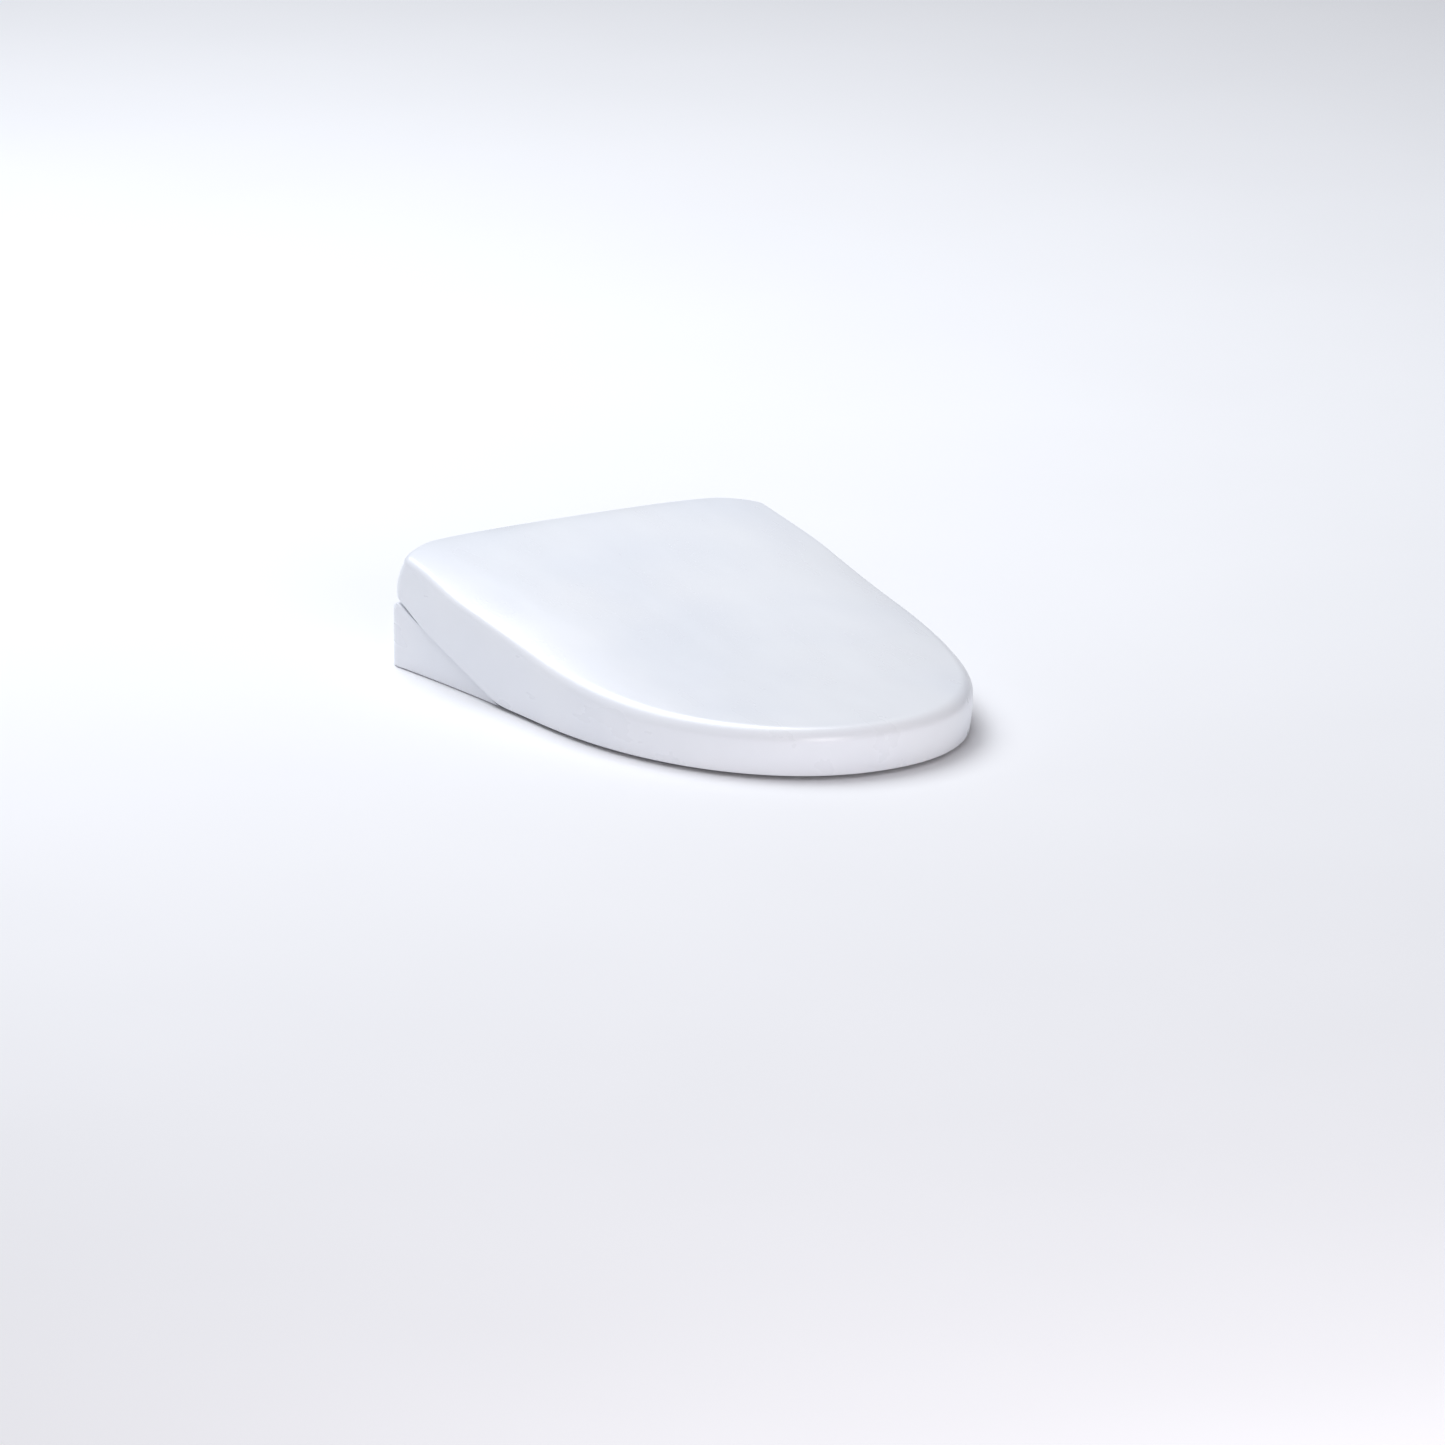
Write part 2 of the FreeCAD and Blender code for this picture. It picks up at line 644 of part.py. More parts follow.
def involute_gear(teeth, module, thick):
    """Spur gear about +Z with a tooth space centred on +X."""
    pitch_r = teeth * module / 2
    base_r = pitch_r * math.cos(math.radians(20))
    outer_r = pitch_r + 0.7 * module
    root_r = pitch_r - 1.25 * module
    flat = math.tan(math.radians(20)) - math.radians(20)
    half_tooth = math.pi / (2 * teeth) - 0.4 / pitch_r
    flank = []
    for step in range(6):
        radius = base_r + (outer_r - base_r) * step / 5
        pressure = math.acos(min(1.0, base_r / radius))
        angle = half_tooth + flat - (math.tan(pressure) - pressure)
        flank.append((radius, angle))
    points = []
    for tooth in range(teeth):
        centre = 2 * math.pi * (tooth + 0.5) / teeth
        points.append((root_r, centre - flank[0][1]))
        points += [(radius, centre - angle) for radius, angle in flank]
        points += [(radius, centre + angle) for radius, angle in reversed(flank)]
        points.append((root_r, centre + flank[0][1]))
    corners = [Vector(r * math.cos(a), r * math.sin(a), 0) for r, a in points]
    return Part.Face(Part.makePolygon(corners + corners[:1])).extrude(Vector(0, 0, thick))


def make_wand():
    """Wand, its tip and rack, and the guide, motor and pinion that drive it."""
    module = dim("tooth_module")
    radius = dim("wand_radius")
    length = dim("wand_length")
    pitch = math.pi * module
    frame = wand_frame()

    tube = Part.makeCylinder(radius, length - 16, Vector(), Vector(1, 0, 0))
    tube = tube.cut(Part.makeCylinder(radius - 2, length, Vector(6, 0, 0), Vector(1, 0, 0)))
    feature("wand_tube", placed(tube, frame))
    tip = Part.makeCylinder(radius, 16, Vector(length - 16, 0, 0), Vector(1, 0, 0))
    tip = tip.fuse(Part.makeCylinder(radius - 2.1, 10, Vector(length - 26, 0, 0), Vector(1, 0, 0)))
    tip = tip.makeFillet(4, [edge for edge in tip.Edges if abs(edge.CenterOfMass.x - length) < 0.1
                             and abs(edge.BoundBox.XLength) < 0.1])
    for offset in (-2.4, 0, 2.4):
        tip = tip.cut(Part.makeCylinder(0.7, 20, Vector(length - 9 + offset, 0, 2), Vector(0, 0, 1)))
    feature("wand_tip", placed(tip.removeSplitter(), frame))

    rack_y = radius + 4
    rack = block((0, radius - 0.5, -3), (length - 6, rack_y + 0.75 * module, 3))
    rack = rack.cut(Part.makeCylinder(radius + 0.05, length, Vector(-1, 0, 0), Vector(1, 0, 0)))
    gap = rack_tooth_gap(pitch)
    first = 4.0
    count = int((length - 12) / pitch)
    mesh_x = first + (count - 2) * pitch
    for index in range(count):
        x = first + index * pitch
        corners = [Vector(x + px, rack_y + py * 1.001, -4) for px, py in gap]
        tooth = Part.Face(Part.makePolygon(corners + corners[:1])).extrude(Vector(0, 0, 8))
        rack = rack.cut(tooth)
    feature("wand_rack", placed(rack, frame))

    pinion_r = module * dim("pinion_teeth") / 2
    gear = involute_gear(int(dim("pinion_teeth")), module, 5)
    gear = gear.cut(Part.makeCylinder(1.5, 7, Vector(0, 0, -1)))
    gear.rotate(Vector(), Vector(0, 0, 1), -90)
    spot = Vector(mesh_x + pitch / 2, rack_y + pinion_r, -2.5)
    gear.translate(spot)
    feature("drive_pinion", placed(gear, frame))
    shaft = Part.makeCylinder(1.5, 20, spot, Vector(0, 0, 1))
    feature("pinion_shaft", placed(shaft, frame))
    motor = Part.makeCylinder(9, 15, spot + Vector(0, 0, 8), Vector(0, 0, 1))
    motor = motor.fuse(block((spot.x - 14, spot.y - 4, spot.z + 8), (spot.x + 14, spot.y + 4, spot.z + 9.2)))
    motor = motor.cut(Part.makeCylinder(1.7, 14.5, spot + Vector(0, 0, 7), Vector(0, 0, 1)))
    feature("wand_motor", placed(motor.removeSplitter(), frame))

    guide = block((28, -radius - 3, -radius - 3), (length - 4, radius + 2.5, radius + 3))
    guide = guide.cut(Part.makeCylinder(radius + 0.4, length + 40, Vector(-10, 0, 0), Vector(1, 0, 0)))
    guide = guide.cut(block((-10, 0, -3.6), (length + 20, 40, 3.6)))
    guide = guide.cut(block((-10, -30, radius - 3), (length - 30, 30, 40)))
    feature("wand_guide", placed(guide, frame))
    return frame, spot


# ------------------------------------------------------------- inside pieces
def blower(name, at, radius, depth, blades):
    """Scroll housing, wheel and motor of a small blower, axis along X."""
    centre = Vector(*at)
    size = radius + 6
    shell = block((centre.x, centre.y - size, centre.z - size),
                  (centre.x + depth, centre.y + size, centre.z + size))
    well = Part.makeCylinder(radius + 2.5, depth - 4, centre + Vector(2, 0, 0), Vector(1, 0, 0))
    intake = Part.makeCylinder(radius * 0.55, 6, centre - Vector(1, 0, 0), Vector(1, 0, 0))
    outlet = block((centre.x + 3, centre.y - size - 1, centre.z - size + 3),
                   (centre.x + depth - 3, centre.y, centre.z - size + 13))
    shaft_hole = Part.makeCylinder(1.6, depth + 10, centre, Vector(1, 0, 0))
    feature(name + "_housing", shell.cut(well).cut(intake).cut(outlet).cut(shaft_hole))
    hub = Part.makeCylinder(radius * 0.35, depth - 9, centre + Vector(4.5, 0, 0), Vector(1, 0, 0))
    disc = Part.makeCylinder(radius, 1.5, centre + Vector(depth - 6, 0, 0), Vector(1, 0, 0))
    wheel = hub.fuse(disc)
    for index in range(blades):
        blade = block((centre.x + 4.5, centre.y - 0.6, centre.z + radius * 0.6),
                      (centre.x + depth - 5.5, centre.y + 0.6, centre.z + radius))
        blade.rotate(Vector(centre.x, centre.y, centre.z + radius * 0.8), Vector(1, 0, 0), 35)
        blade.rotate(centre, Vector(1, 0, 0), 360 * index / blades)
        wheel = wheel.fuse(blade)
    wheel = wheel.cut(Part.makeCylinder(1.5, depth + 10, centre, Vector(1, 0, 0)))
    feature(name + "_wheel", wheel.removeSplitter())
    motor = Part.makeCylinder(9, 12, centre + Vector(depth, 0, 0), Vector(1, 0, 0))
    spindle = Part.makeCylinder(1.45, depth - 5, centre + Vector(5, 0, 0), Vector(1, 0, 0))
    feature(name + "_motor", motor.fuse(spindle).removeSplitter())
    return centre


def make_primitives():
    """Inside pieces that are plain boxes and cylinders, bound to the sheet."""
    heater = box("heater_tank", (56, 34, 26), (30, -82, 13))
    ports = [cylinder("heater_port%d" % index, 4, 8, (41 + 34 * index, -65, 38), "z") for index in range(2)]
    keep(fuse("water_heater", rounded("heater", heater, 3, upright), *ports), "water_heater")

    valve = box("valve_block", (26, 22, 16), (104, -82, 13))
    coil = cylinder("valve_coil", 9, 16, (117, -71, 28.5), "z")
    keep(fuse("inlet_valve", valve, coil), "inlet_valve")

    selector = cylinder("selector_drum", 13, 18, (-44, -66, 13), "z")
    head = box("selector_head", (20, 20, 10), (-54, -76, 30.5))
    keep(fuse("flow_selector", selector, head), "flow_selector")

    pump = cylinder("pump_can", 11, 34, (-122, -66, 25), "x")
    pump_head = box("pump_head", (14, 24, 24), (-88.5, -78, 13))
    keep(fuse("air_pump", pump, pump_head), "air_pump")

    board = box("board_sheet", (44, 64, 1.6), (-149, -48, 14))
    chips = [
        box("board_chip%d" % index, (12, 9, 2.5), (-140 + 9 * (index % 2), -34 + 14 * index, 15.4))
        for index in range(3)
    ]
    keep(fuse("control_board", board, *chips), "control_board")
    keep(rounded("power", box("power_block", (40, 34, 30), (-147, -46, 20)), 2, upright), "power_module")

    keep(box("occupancy_sensor", (22, 5, 8), (-11, -86.5, 50)), "occupancy_sensor")


def make_inside():
    """Hinge shafts, dampers, blowers, ducts, seals and plumbing."""
    half = dim("case_half")
    shaft_r = dim("shaft_radius")
    shafts = []
    for side, sign in (("left", -1), ("right", 1)):
        shaft = rod(shaft_r, 128, EAR[1] - 0.3)
        flat = block((120, AXIS.y - 10, AXIS.z + 2.8), (140, AXIS.y + 10, AXIS.z + 10))
        damper = rod(10, 112, half - dim("case_wall") - 0.4)
        damper = damper.cut(rod(shaft_r, 128, 200).cut(flat))
        damper = damper.fuse(block((112, AXIS.y - 16, AXIS.z - 3), (118, AXIS.y, AXIS.z + 3))).removeSplitter()
        shaft = shaft.cut(flat)
        if sign < 0:
            shaft, damper = mirrored(shaft), mirrored(damper)
        shafts.append(shaft)
        feature(("seat_damper", "lid_damper")[sign > 0], damper)
    feature("hinge_shafts", Part.makeCompound(shafts))

    blower("deodorizer", (-96, -5, 50), 15, 22, 12)
    blower("dryer", (48, -5, 47), 18, 26, 14)
    cartridge = block((-100, -26, 13), (-72, 26, 27.5))
    for index in range(6):
        cartridge = cartridge.cut(block((-96, -22 + 8 * index, 12), (-76, -18 + 8 * index, 30)))
    feature("deodorizer_filter", cartridge)

    duct = block((51, -86.8, 41.5), (71, -29.5, 53))
    duct = duct.cut(block((53, -90, 43.5), (69, -20, 51)))
    feature("dryer_duct", duct)
    element = Part.makeCompound([block((54, -60 + 8 * n, 44.5), (68, -58.5 + 8 * n, 50)) for n in range(3)])
    feature("dryer_element", element)

    inlet_y = 66
    centre = Vector(125, inlet_y, 26)
    spigot = Part.makeCylinder(dim("thread_radius"), 12, centre, Vector(0, -1, 0))
    spigot = spigot.fuse(Part.makeCylinder(8, 24, centre - Vector(0, 10, 0), Vector(0, -1, 0)))
    flange = Part.makeCylinder(10.4, 3, centre - Vector(0, 25, 0), Vector(0, -1, 0))
    spigot = spigot.fuse(flange).cut(Part.makeCylinder(5, 50, centre, Vector(0, -1, 0)))
    feature("water_inlet", spigot.removeSplitter())
    strainer = Part.makeCylinder(4.8, 26, centre - Vector(0, 3, 0), Vector(0, -1, 0))
    strainer = strainer.cut(Part.makeCylinder(3.6, 24, centre - Vector(0, 1, 0), Vector(0, -1, 0)))
    feature("inlet_strainer", strainer)

    gland = Part.makeCylinder(7, 12, Vector(-125, 52, 22), Vector(0, -1, 0))
    gland = gland.cut(Part.makeCylinder(3.4, 20, Vector(-125, 56, 22), Vector(0, -1, 0)))
    feature("power_gland", gland)

    window = block((-29.6, -dim("case_front") - 0.4, 49.4), (29.6, -dim("case_front") + 3, 58.6))
    feature("sensor_window", window)
    feature("signal_lens", Part.makeCylinder(9, 2.5, Vector(112, -30, 75.2)).common(case_profile(-0.6)))


# ----------------------------------------------------- fixings and controls
def make_base():
    """Base plate, the two bolt adjusters and the rubber pads under them."""
    plate = keep(new_body("base_plate", (0, 0, "pad_thick")), "base_plate")
    pad = plate.newObject("PartDesign::Pad", "base_plate_pad")
    pad.Profile = sketch_box(new_sketch(plate, "base_plate_outline"), "plate_width", "plate_depth")
    pad.setExpression("Length", text("plate_thick"))
    doc.recompute()
    for index, sign in enumerate((-1, 1)):
        seat = plate.newObject("PartDesign::Pocket", "adjuster_pocket%d" % index)
        profile = new_sketch(plate, "adjuster_pocket_outline%d" % index)
        seat.Profile = sketch_box(profile, 44.6, 40.6, (sign * 70, 0))
        profile.AttachmentOffset = Placement(Vector(0, 0, 2), Rotation())
        seat.Reversed = True
        seat.Length = 10
        slot = plate.newObject("PartDesign::Pocket", "bolt_slot%d" % index)
        slot.Profile = sketch_box(new_sketch(plate, "bolt_slot_outline%d" % index), 30, 26, (sign * 70, 0))
        slot.Reversed = True
        slot.Length = 20
        doc.recompute()
    strike = plate.newObject("PartDesign::Pocket", "latch_pocket")
    strike.Profile = sketch_box(new_sketch(plate, "latch_pocket_outline"), 12, 12, (113, -20))
    strike.Reversed = True
    strike.Length = 20
    doc.recompute()

    adjusters = []
    for side, sign in (("left", "-"), ("right", "")):
        adjuster = new_body("bolt_adjuster_" + side, (sign + " bolt_spacing / 2", 0, "pad_thick + 2.1"))
        adjusters.append(adjuster)
        block_pad = adjuster.newObject("PartDesign::Pad", "adjuster_pad_" + side)
        block_pad.Profile = sketch_box(new_sketch(adjuster, "adjuster_outline_" + side), 44, 40)
        block_pad.setExpression("Length", text("plate_thick - 2.2"))
        doc.recompute()
        collar = adjuster.newObject("PartDesign::Pad", "adjuster_collar_" + side)
        collar.Profile = sketch_circle(new_sketch(adjuster, "collar_circle_" + side), "collar_radius")
        collar.setExpression("Length", text("pad_thick + 2.1"))
        collar.Reversed = True
        doc.recompute()
        for way, upward in (("up", True), ("down", False)):
            hole = adjuster.newObject("PartDesign::Pocket", "adjuster_hole_%s_%s" % (way, side))
            circle = new_sketch(adjuster, "hole_circle_%s_%s" % (way, side))
            hole.Profile = sketch_circle(circle, "bolt_hole_radius")
            hole.Reversed = upward
            hole.Length = 10
            doc.recompute()
    keep(group("bolt_adjusters", *adjusters), "bolt_adjusters")

    pads = [
        box("pad%d" % index, (60, 12, "pad_thick"), (x, y, 0))
        for index, (x, y) in enumerate(((-120, -36), (60, -36), (-120, 24), (60, 24)))
    ]
    keep(group("mount_pads", *pads), "mount_pads")


def button_bar(radius, y):
    """Round bar along X at one button of the right side panel."""
    return Part.makeCylinder(radius, 40, Vector(160, y, 36.5), Vector(1, 0, 0))


def make_controls():
    """Control bezel with its buttons, and the release button and latch."""
    inset = dim("case_inset")
    wall = dim("case_wall")
    radius = dim("button_radius")
    zone = block((150, -18.7, 31.1), (200, 26.7, 41.9))
    bezel = outline_solid(inset - 0.7, 20, 60).cut(outline_solid(inset + 0.9, 20, 60)).common(zone)
    caps = outline_solid(inset - 1.4, 20, 60).cut(outline_solid(inset + wall + 0.4, 20, 60))
    buttons = []
    for name, y in (("stop_button", -10), ("rear_wash_button", 4), ("power_button", 18)):
        bezel = bezel.cut(button_bar(radius + 0.35, y))
        buttons.append((name, button_bar(radius, y).common(caps)))
    feature("control_bezel", bezel)
    for name, button in buttons:
        feature(name, button)
    board = outline_solid(inset + wall + 1.6, 31.4, 38.6).cut(outline_solid(inset + wall + 2.8, 20, 60))
    feature("button_board", board.common(block((150, -16.5, 31), (200, 24.5, 42))))

    release = block((176.5, -41.5, 5.5), (200, -22.5, 18.5)).common(outline_solid(inset - 0.8, 0, 60))
    along_x = [edge for edge in release.Edges if abs(edge.tangentAt(edge.FirstParameter).x) > 0.99]
    release = release.makeFillet(1.5, along_x)
    stem_y, stem_z = -32, 6.2
    stem = Part.makeCylinder(2.2, 20.8, Vector(156.2, stem_y, stem_z), Vector(1, 0, 0))
    release = release.fuse(stem).removeSplitter()
    feature("release_button", release)
    turns = Part.makeHelix(2.2, 14, 3.6)
    section = Part.Wire(Part.makeCircle(0.4, Vector(3.6, 0, 0), Vector(0, 1, 0)))
    spring = Part.Wire(turns).makePipeShell([section], True, True)
    spring.rotate(Vector(), Vector(0, 1, 0), 90)
    spring.translate(Vector(161.9, stem_y, stem_z))
    feature("release_spring", spring)
    latch = block((119, -35, 6.8), (156.2, -29, 8.7))
    hook = block((112, -25, 2.4), (118, -15.5, 8.7))
    link = block((112, -35, 6.8), (121, -20, 8.7))
    feature("latch", latch.fuse(hook).fuse(link).removeSplitter())


def make_screws():
    """Countersunk screws that hold the deck cover down, as one group."""
    screws = []
    radius = dim("screw_radius")
    for x, y in SCREWS:
        head = Part.makeCylinder(radius * 1.9, 1.6, Vector(x, y, 12.1))
        shank = Part.makeCylinder(radius, 9, Vector(x, y, 3.5))
        screws.append(head.fuse(shank).removeSplitter())
    feature("case_screws", Part.makeCompound(screws))


def check_document():
    """Stop if any object failed to compute or any piece is unsound."""
    doc.recompute()
    for obj in doc.Objects:
        faults = [state for state in obj.State if state in ("Invalid", "Error")]
        if faults:
            raise RuntimeError("%s: %s" % (obj.Name, faults))
    for obj in pieces:
        shape = obj.Shape
        if shape.isNull() or not shape.isValid() or not shape.Solids:
            raise RuntimeError("%s has no sound solid" % obj.Label)
        print("%-24s solids %d  volume %.0f" % (obj.Label, len(shape.Solids), shape.Volume))


def write_steps():
    """Write each piece to its own file."""
    os.makedirs("parts", exist_ok=True)
    for obj in pieces:
        obj.Shape.exportStep("parts/%s.step" % obj.Label)
    print("pieces", len(pieces))


make_lid()
make_seat()
make_casing()
make_wand()
make_primitives()
make_inside()
make_base()
make_controls()
make_screws()
check_document()
write_steps()
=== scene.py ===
"""Electric bidet seat: finished surfaces and finishes over the working assembly.

All lengths are metres in the frame of the assembly: +Z up, front towards -Y,
+X on the seated person's left, origin midway between the two fixing bolts.
"""

import json
import logging
import math
from dataclasses import dataclass, field
from enum import Enum

import bmesh
import bpy
import numpy as np
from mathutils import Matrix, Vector

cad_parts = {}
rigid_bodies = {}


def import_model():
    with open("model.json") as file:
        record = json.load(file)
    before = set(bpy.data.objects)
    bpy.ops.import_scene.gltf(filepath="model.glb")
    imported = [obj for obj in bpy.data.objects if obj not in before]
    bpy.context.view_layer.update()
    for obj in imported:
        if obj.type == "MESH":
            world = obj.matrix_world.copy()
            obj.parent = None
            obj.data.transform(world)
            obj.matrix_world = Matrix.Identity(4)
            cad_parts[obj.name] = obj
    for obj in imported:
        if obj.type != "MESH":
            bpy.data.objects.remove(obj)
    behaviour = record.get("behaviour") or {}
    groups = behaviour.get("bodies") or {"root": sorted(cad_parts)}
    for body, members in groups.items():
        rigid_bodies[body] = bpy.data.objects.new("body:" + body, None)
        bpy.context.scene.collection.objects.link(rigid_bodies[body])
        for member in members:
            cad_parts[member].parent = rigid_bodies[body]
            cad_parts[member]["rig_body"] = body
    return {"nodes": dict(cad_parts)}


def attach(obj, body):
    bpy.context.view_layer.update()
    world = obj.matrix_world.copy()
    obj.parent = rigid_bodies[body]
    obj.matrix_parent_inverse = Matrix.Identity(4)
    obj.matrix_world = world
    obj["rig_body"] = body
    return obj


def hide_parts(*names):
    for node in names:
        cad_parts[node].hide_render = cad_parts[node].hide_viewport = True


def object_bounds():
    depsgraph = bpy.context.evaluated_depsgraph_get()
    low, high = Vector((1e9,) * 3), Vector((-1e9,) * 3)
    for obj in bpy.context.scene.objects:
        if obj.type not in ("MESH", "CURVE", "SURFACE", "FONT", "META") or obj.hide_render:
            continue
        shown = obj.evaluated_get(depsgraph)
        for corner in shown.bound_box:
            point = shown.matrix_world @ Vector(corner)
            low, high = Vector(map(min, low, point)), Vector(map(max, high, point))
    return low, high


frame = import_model()
CAD_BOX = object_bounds()
MM = 0.001
RELAX_PASSES = 500
log = logging.getLogger("bidet_seat")


# ---- numbers
def natural_spline(knots: np.ndarray, values: np.ndarray, at: np.ndarray) -> np.ndarray:
    """Cubic through the knots with matching curvature at each and none at the ends.

    Args:
        knots: increasing positions.
        values: value at each knot.
        at: positions wanted; outside the knots the end slope carries on.

    Returns:
        Values at the wanted positions.
    """
    step = np.diff(knots)
    count = len(knots)
    system = np.zeros((count, count))
    right = np.zeros(count)
    system[0, 0] = system[-1, -1] = 1
    inner = np.arange(1, count - 1)
    system[inner, inner - 1] = step[:-1]
    system[inner, inner] = 2 * (step[:-1] + step[1:])
    system[inner, inner + 1] = step[1:]
    slope = np.diff(values) / step
    right[inner] = 6 * np.diff(slope)
    bend = np.linalg.solve(system, right)
    inside = np.clip(at, knots[0], knots[-1])
    k = np.clip(np.searchsorted(knots, inside, side="right") - 1, 0, count - 2)
    h, t = step[k], inside - knots[k]
    first = slope[k] - h * (2 * bend[k] + bend[k + 1]) / 6
    curve = values[k] + first * t + bend[k] * t**2 / 2 + (bend[k + 1] - bend[k]) * t**3 / (6 * h)
    start = slope[0] - step[0] * bend[1] / 6
    end = slope[-1] + step[-1] * bend[-2] / 6
    return curve + np.minimum(at - knots[0], 0) * start + np.maximum(at - knots[-1], 0) * end


def smooth(value: np.ndarray, low: float, high: float) -> np.ndarray:
    """Step from 0 at low to 1 at high, level at both ends: 3t^2 - 2t^3."""
    t = np.clip((value - low) / (high - low), 0, 1)
    return t * t * (3 - 2 * t)


def spread(points: np.ndarray, count: int, weight: np.ndarray | None = None) -> np.ndarray:
    """Open line of points spread again at even weighted length.

    Args:
        points: (n, 2) points along the line.
        count: number of steps wanted.
        weight: how closely points are spaced at each given point; 1 is normal.

    Returns:
        (count, 2) points along the same line, without its last point.
    """
    length = np.linalg.norm(np.diff(points, axis=0), axis=1)
    if weight is not None:
        length = length * (weight[1:] + weight[:-1]) / 2
    run = np.concatenate([[0], np.cumsum(length)])
    want = np.linspace(0, run[-1], count + 1)[:-1]
    return np.stack([np.interp(want, run, points[:, axis]) for axis in (0, 1)], axis=1)


def inward(loop: np.ndarray, passes: int = 0) -> np.ndarray:
    """Unit normals of a counter-clockwise loop, pointing into it.

    Args:
        loop: (n, 2) closed loop.
        passes: how many times each normal is averaged with its neighbours.

    Returns:
        (n, 2) unit normals.
    """
    along = np.roll(loop, -1, axis=0) - np.roll(loop, 1, axis=0)
    for _ in range(passes):
        along /= np.linalg.norm(along, axis=1, keepdims=True)
        along = (np.roll(along, 1, axis=0) + along + np.roll(along, -1, axis=0)) / 3
    along /= np.linalg.norm(along, axis=1, keepdims=True)
    return np.stack([-along[:, 1], along[:, 0]], axis=1)


# ---- outline
@dataclass(frozen=True)
class PlanOutline:
    """Outline of lid and casing seen from above, in metres.

    In front it is half of a slightly full ellipse, |x/a|^n + |y/b|^n = 1, which
    runs into sides that widen by a square law, round rear corners and a rear
    edge that bows out.
    """

    front: float = -0.471
    middle: float = -0.193
    corner: float = 0.052
    middle_half: float = 0.1795
    rear_half: float = 0.195
    radius: float = 0.0275
    bulge: float = 0.008
    power: float = 2.13
    nose_depth: float = 0.075

    def half_width(self, y: np.ndarray) -> np.ndarray:
        """Half width at each distance along Y.

        Args:
            y: positions along Y.

        Returns:
            Half widths, 0 ahead of the front tip.
        """
        behind = np.clip((y - self.middle) / (self.corner - self.middle), 0, None)
        ahead = np.clip((self.middle - y) / (self.middle - self.front), 0, 1)
        side = self.middle_half + (self.rear_half - self.middle_half) * behind**2
        nose = self.middle_half * (1 - ahead**self.power) ** (1 / self.power)
        return np.where(y >= self.middle, side, nose)

    def loop(self, across: int, along: int) -> np.ndarray:
        """Closed outline, counter-clockwise from the front tip.

        Args:
            across: steps over the front and over the rear, an even number.
            along: steps along each side.

        Returns:
            (2 * (across + along), 2) points, closer together at the rear corners.
        """
        turn = self.corner - self.radius
        wide = float(self.half_width(np.array([turn]))[0])
        sweep = np.linspace(0, math.pi / 2, 600)
        y_front = self.middle - (self.middle - self.front) * np.cos(sweep) ** (2 / self.power)
        front = np.stack([self.half_width(y_front), y_front], axis=1)
        front[0, 0] = 0
        y_side = np.linspace(self.middle, turn, 300)[1:]
        side = np.stack([self.half_width(y_side), y_side], axis=1)
        turned = np.linspace(0, math.pi / 2, 81)[1:]
        centre = wide - self.radius
        arc = np.stack([centre + self.radius * np.cos(turned), turn + self.radius * np.sin(turned)], axis=1)
        x_rear = np.linspace(centre, 0, 300)[1:]
        bow = self.bulge * (1 - (x_rear / centre) ** 2)
        rear = np.stack([x_rear, self.corner + bow], axis=1)
        nose = front[front[:, 1] <= self.front + self.nose_depth]
        flank = np.vstack([front[front[:, 1] >= self.front + self.nose_depth], side, arc[:40]])
        back = np.vstack([arc[39:], rear])
        # points stand up to 3.5 times closer within about 20 to 30 mm of the corner
        fine = []
        for part in (flank, back):
            off_x, off_y = (np.abs(part[:, 0]) - wide) / 0.02, (part[:, 1] - turn) / 0.03
            fine.append(1 + 2.5 * np.exp(-(off_x**2) - off_y**2))
        right = np.vstack([
            spread(np.vstack([nose, flank[:1]]), across // 2),
            spread(flank, along, fine[0]),
            spread(back, across // 2, fine[1]),
            back[-1:],
        ])
        return np.vstack([right, right[-2:0:-1] * np.array([-1, 1])])


def coons(ring: np.ndarray, across: int, along: int) -> np.ndarray:
    """Grid of points inside a closed ring, from its four sides.

    Each point adds the blend of the two facing sides both ways and takes the
    blend of the four corners away once. Then each inner point moves to the mean
    of its four neighbours, many times over, which undoes folds at the corners.

    Args:
        ring: (2 * (across + along), 2) ring as PlanOutline.loop orders it.
        across: steps over the front and the rear.
        along: steps along each side.

    Returns:
        (along + 1, across + 1, 2) grid, rows from front to rear, left to right.
    """
    turned = np.roll(ring, across // 2, axis=0)
    closed = np.vstack([turned, turned[:1]])
    front = closed[: across + 1]
    right = closed[across : across + along + 1]
    rear = closed[across + along : 2 * across + along + 1][::-1]
    left = closed[2 * across + along :][::-1]
    u = np.linspace(0, 1, across + 1)[None, :, None]
    v = np.linspace(0, 1, along + 1)[:, None, None]
    sides = (1 - v) * front[None] + v * rear[None] + (1 - u) * left[:, None] + u * right[:, None]
    corners = (1 - v) * ((1 - u) * front[0] + u * front[-1]) + v * ((1 - u) * rear[0] + u * rear[-1])
    grid = sides - corners
    for _ in range(RELAX_PASSES):
        grid[1:-1, 1:-1] = (grid[2:, 1:-1] + grid[:-2, 1:-1] + grid[1:-1, 2:] + grid[1:-1, :-2]) / 4
    return grid


OUTLINE = PlanOutline()


# ---- meshes
def quads(index: np.ndarray) -> list[list[int]]:
    """Four-sided faces between the neighbours of a grid of point numbers."""
    corners = [index[:-1, :-1], index[:-1, 1:], index[1:, 1:], index[1:, :-1]]
    return np.stack(corners, axis=-1).reshape(-1, 4).tolist()


def placed(name: str, data: bpy.types.ID) -> bpy.types.Object:
    """New object in the scene, at the origin."""
    item = bpy.data.objects.new(name, data)
    bpy.context.scene.collection.objects.link(item)
    return item


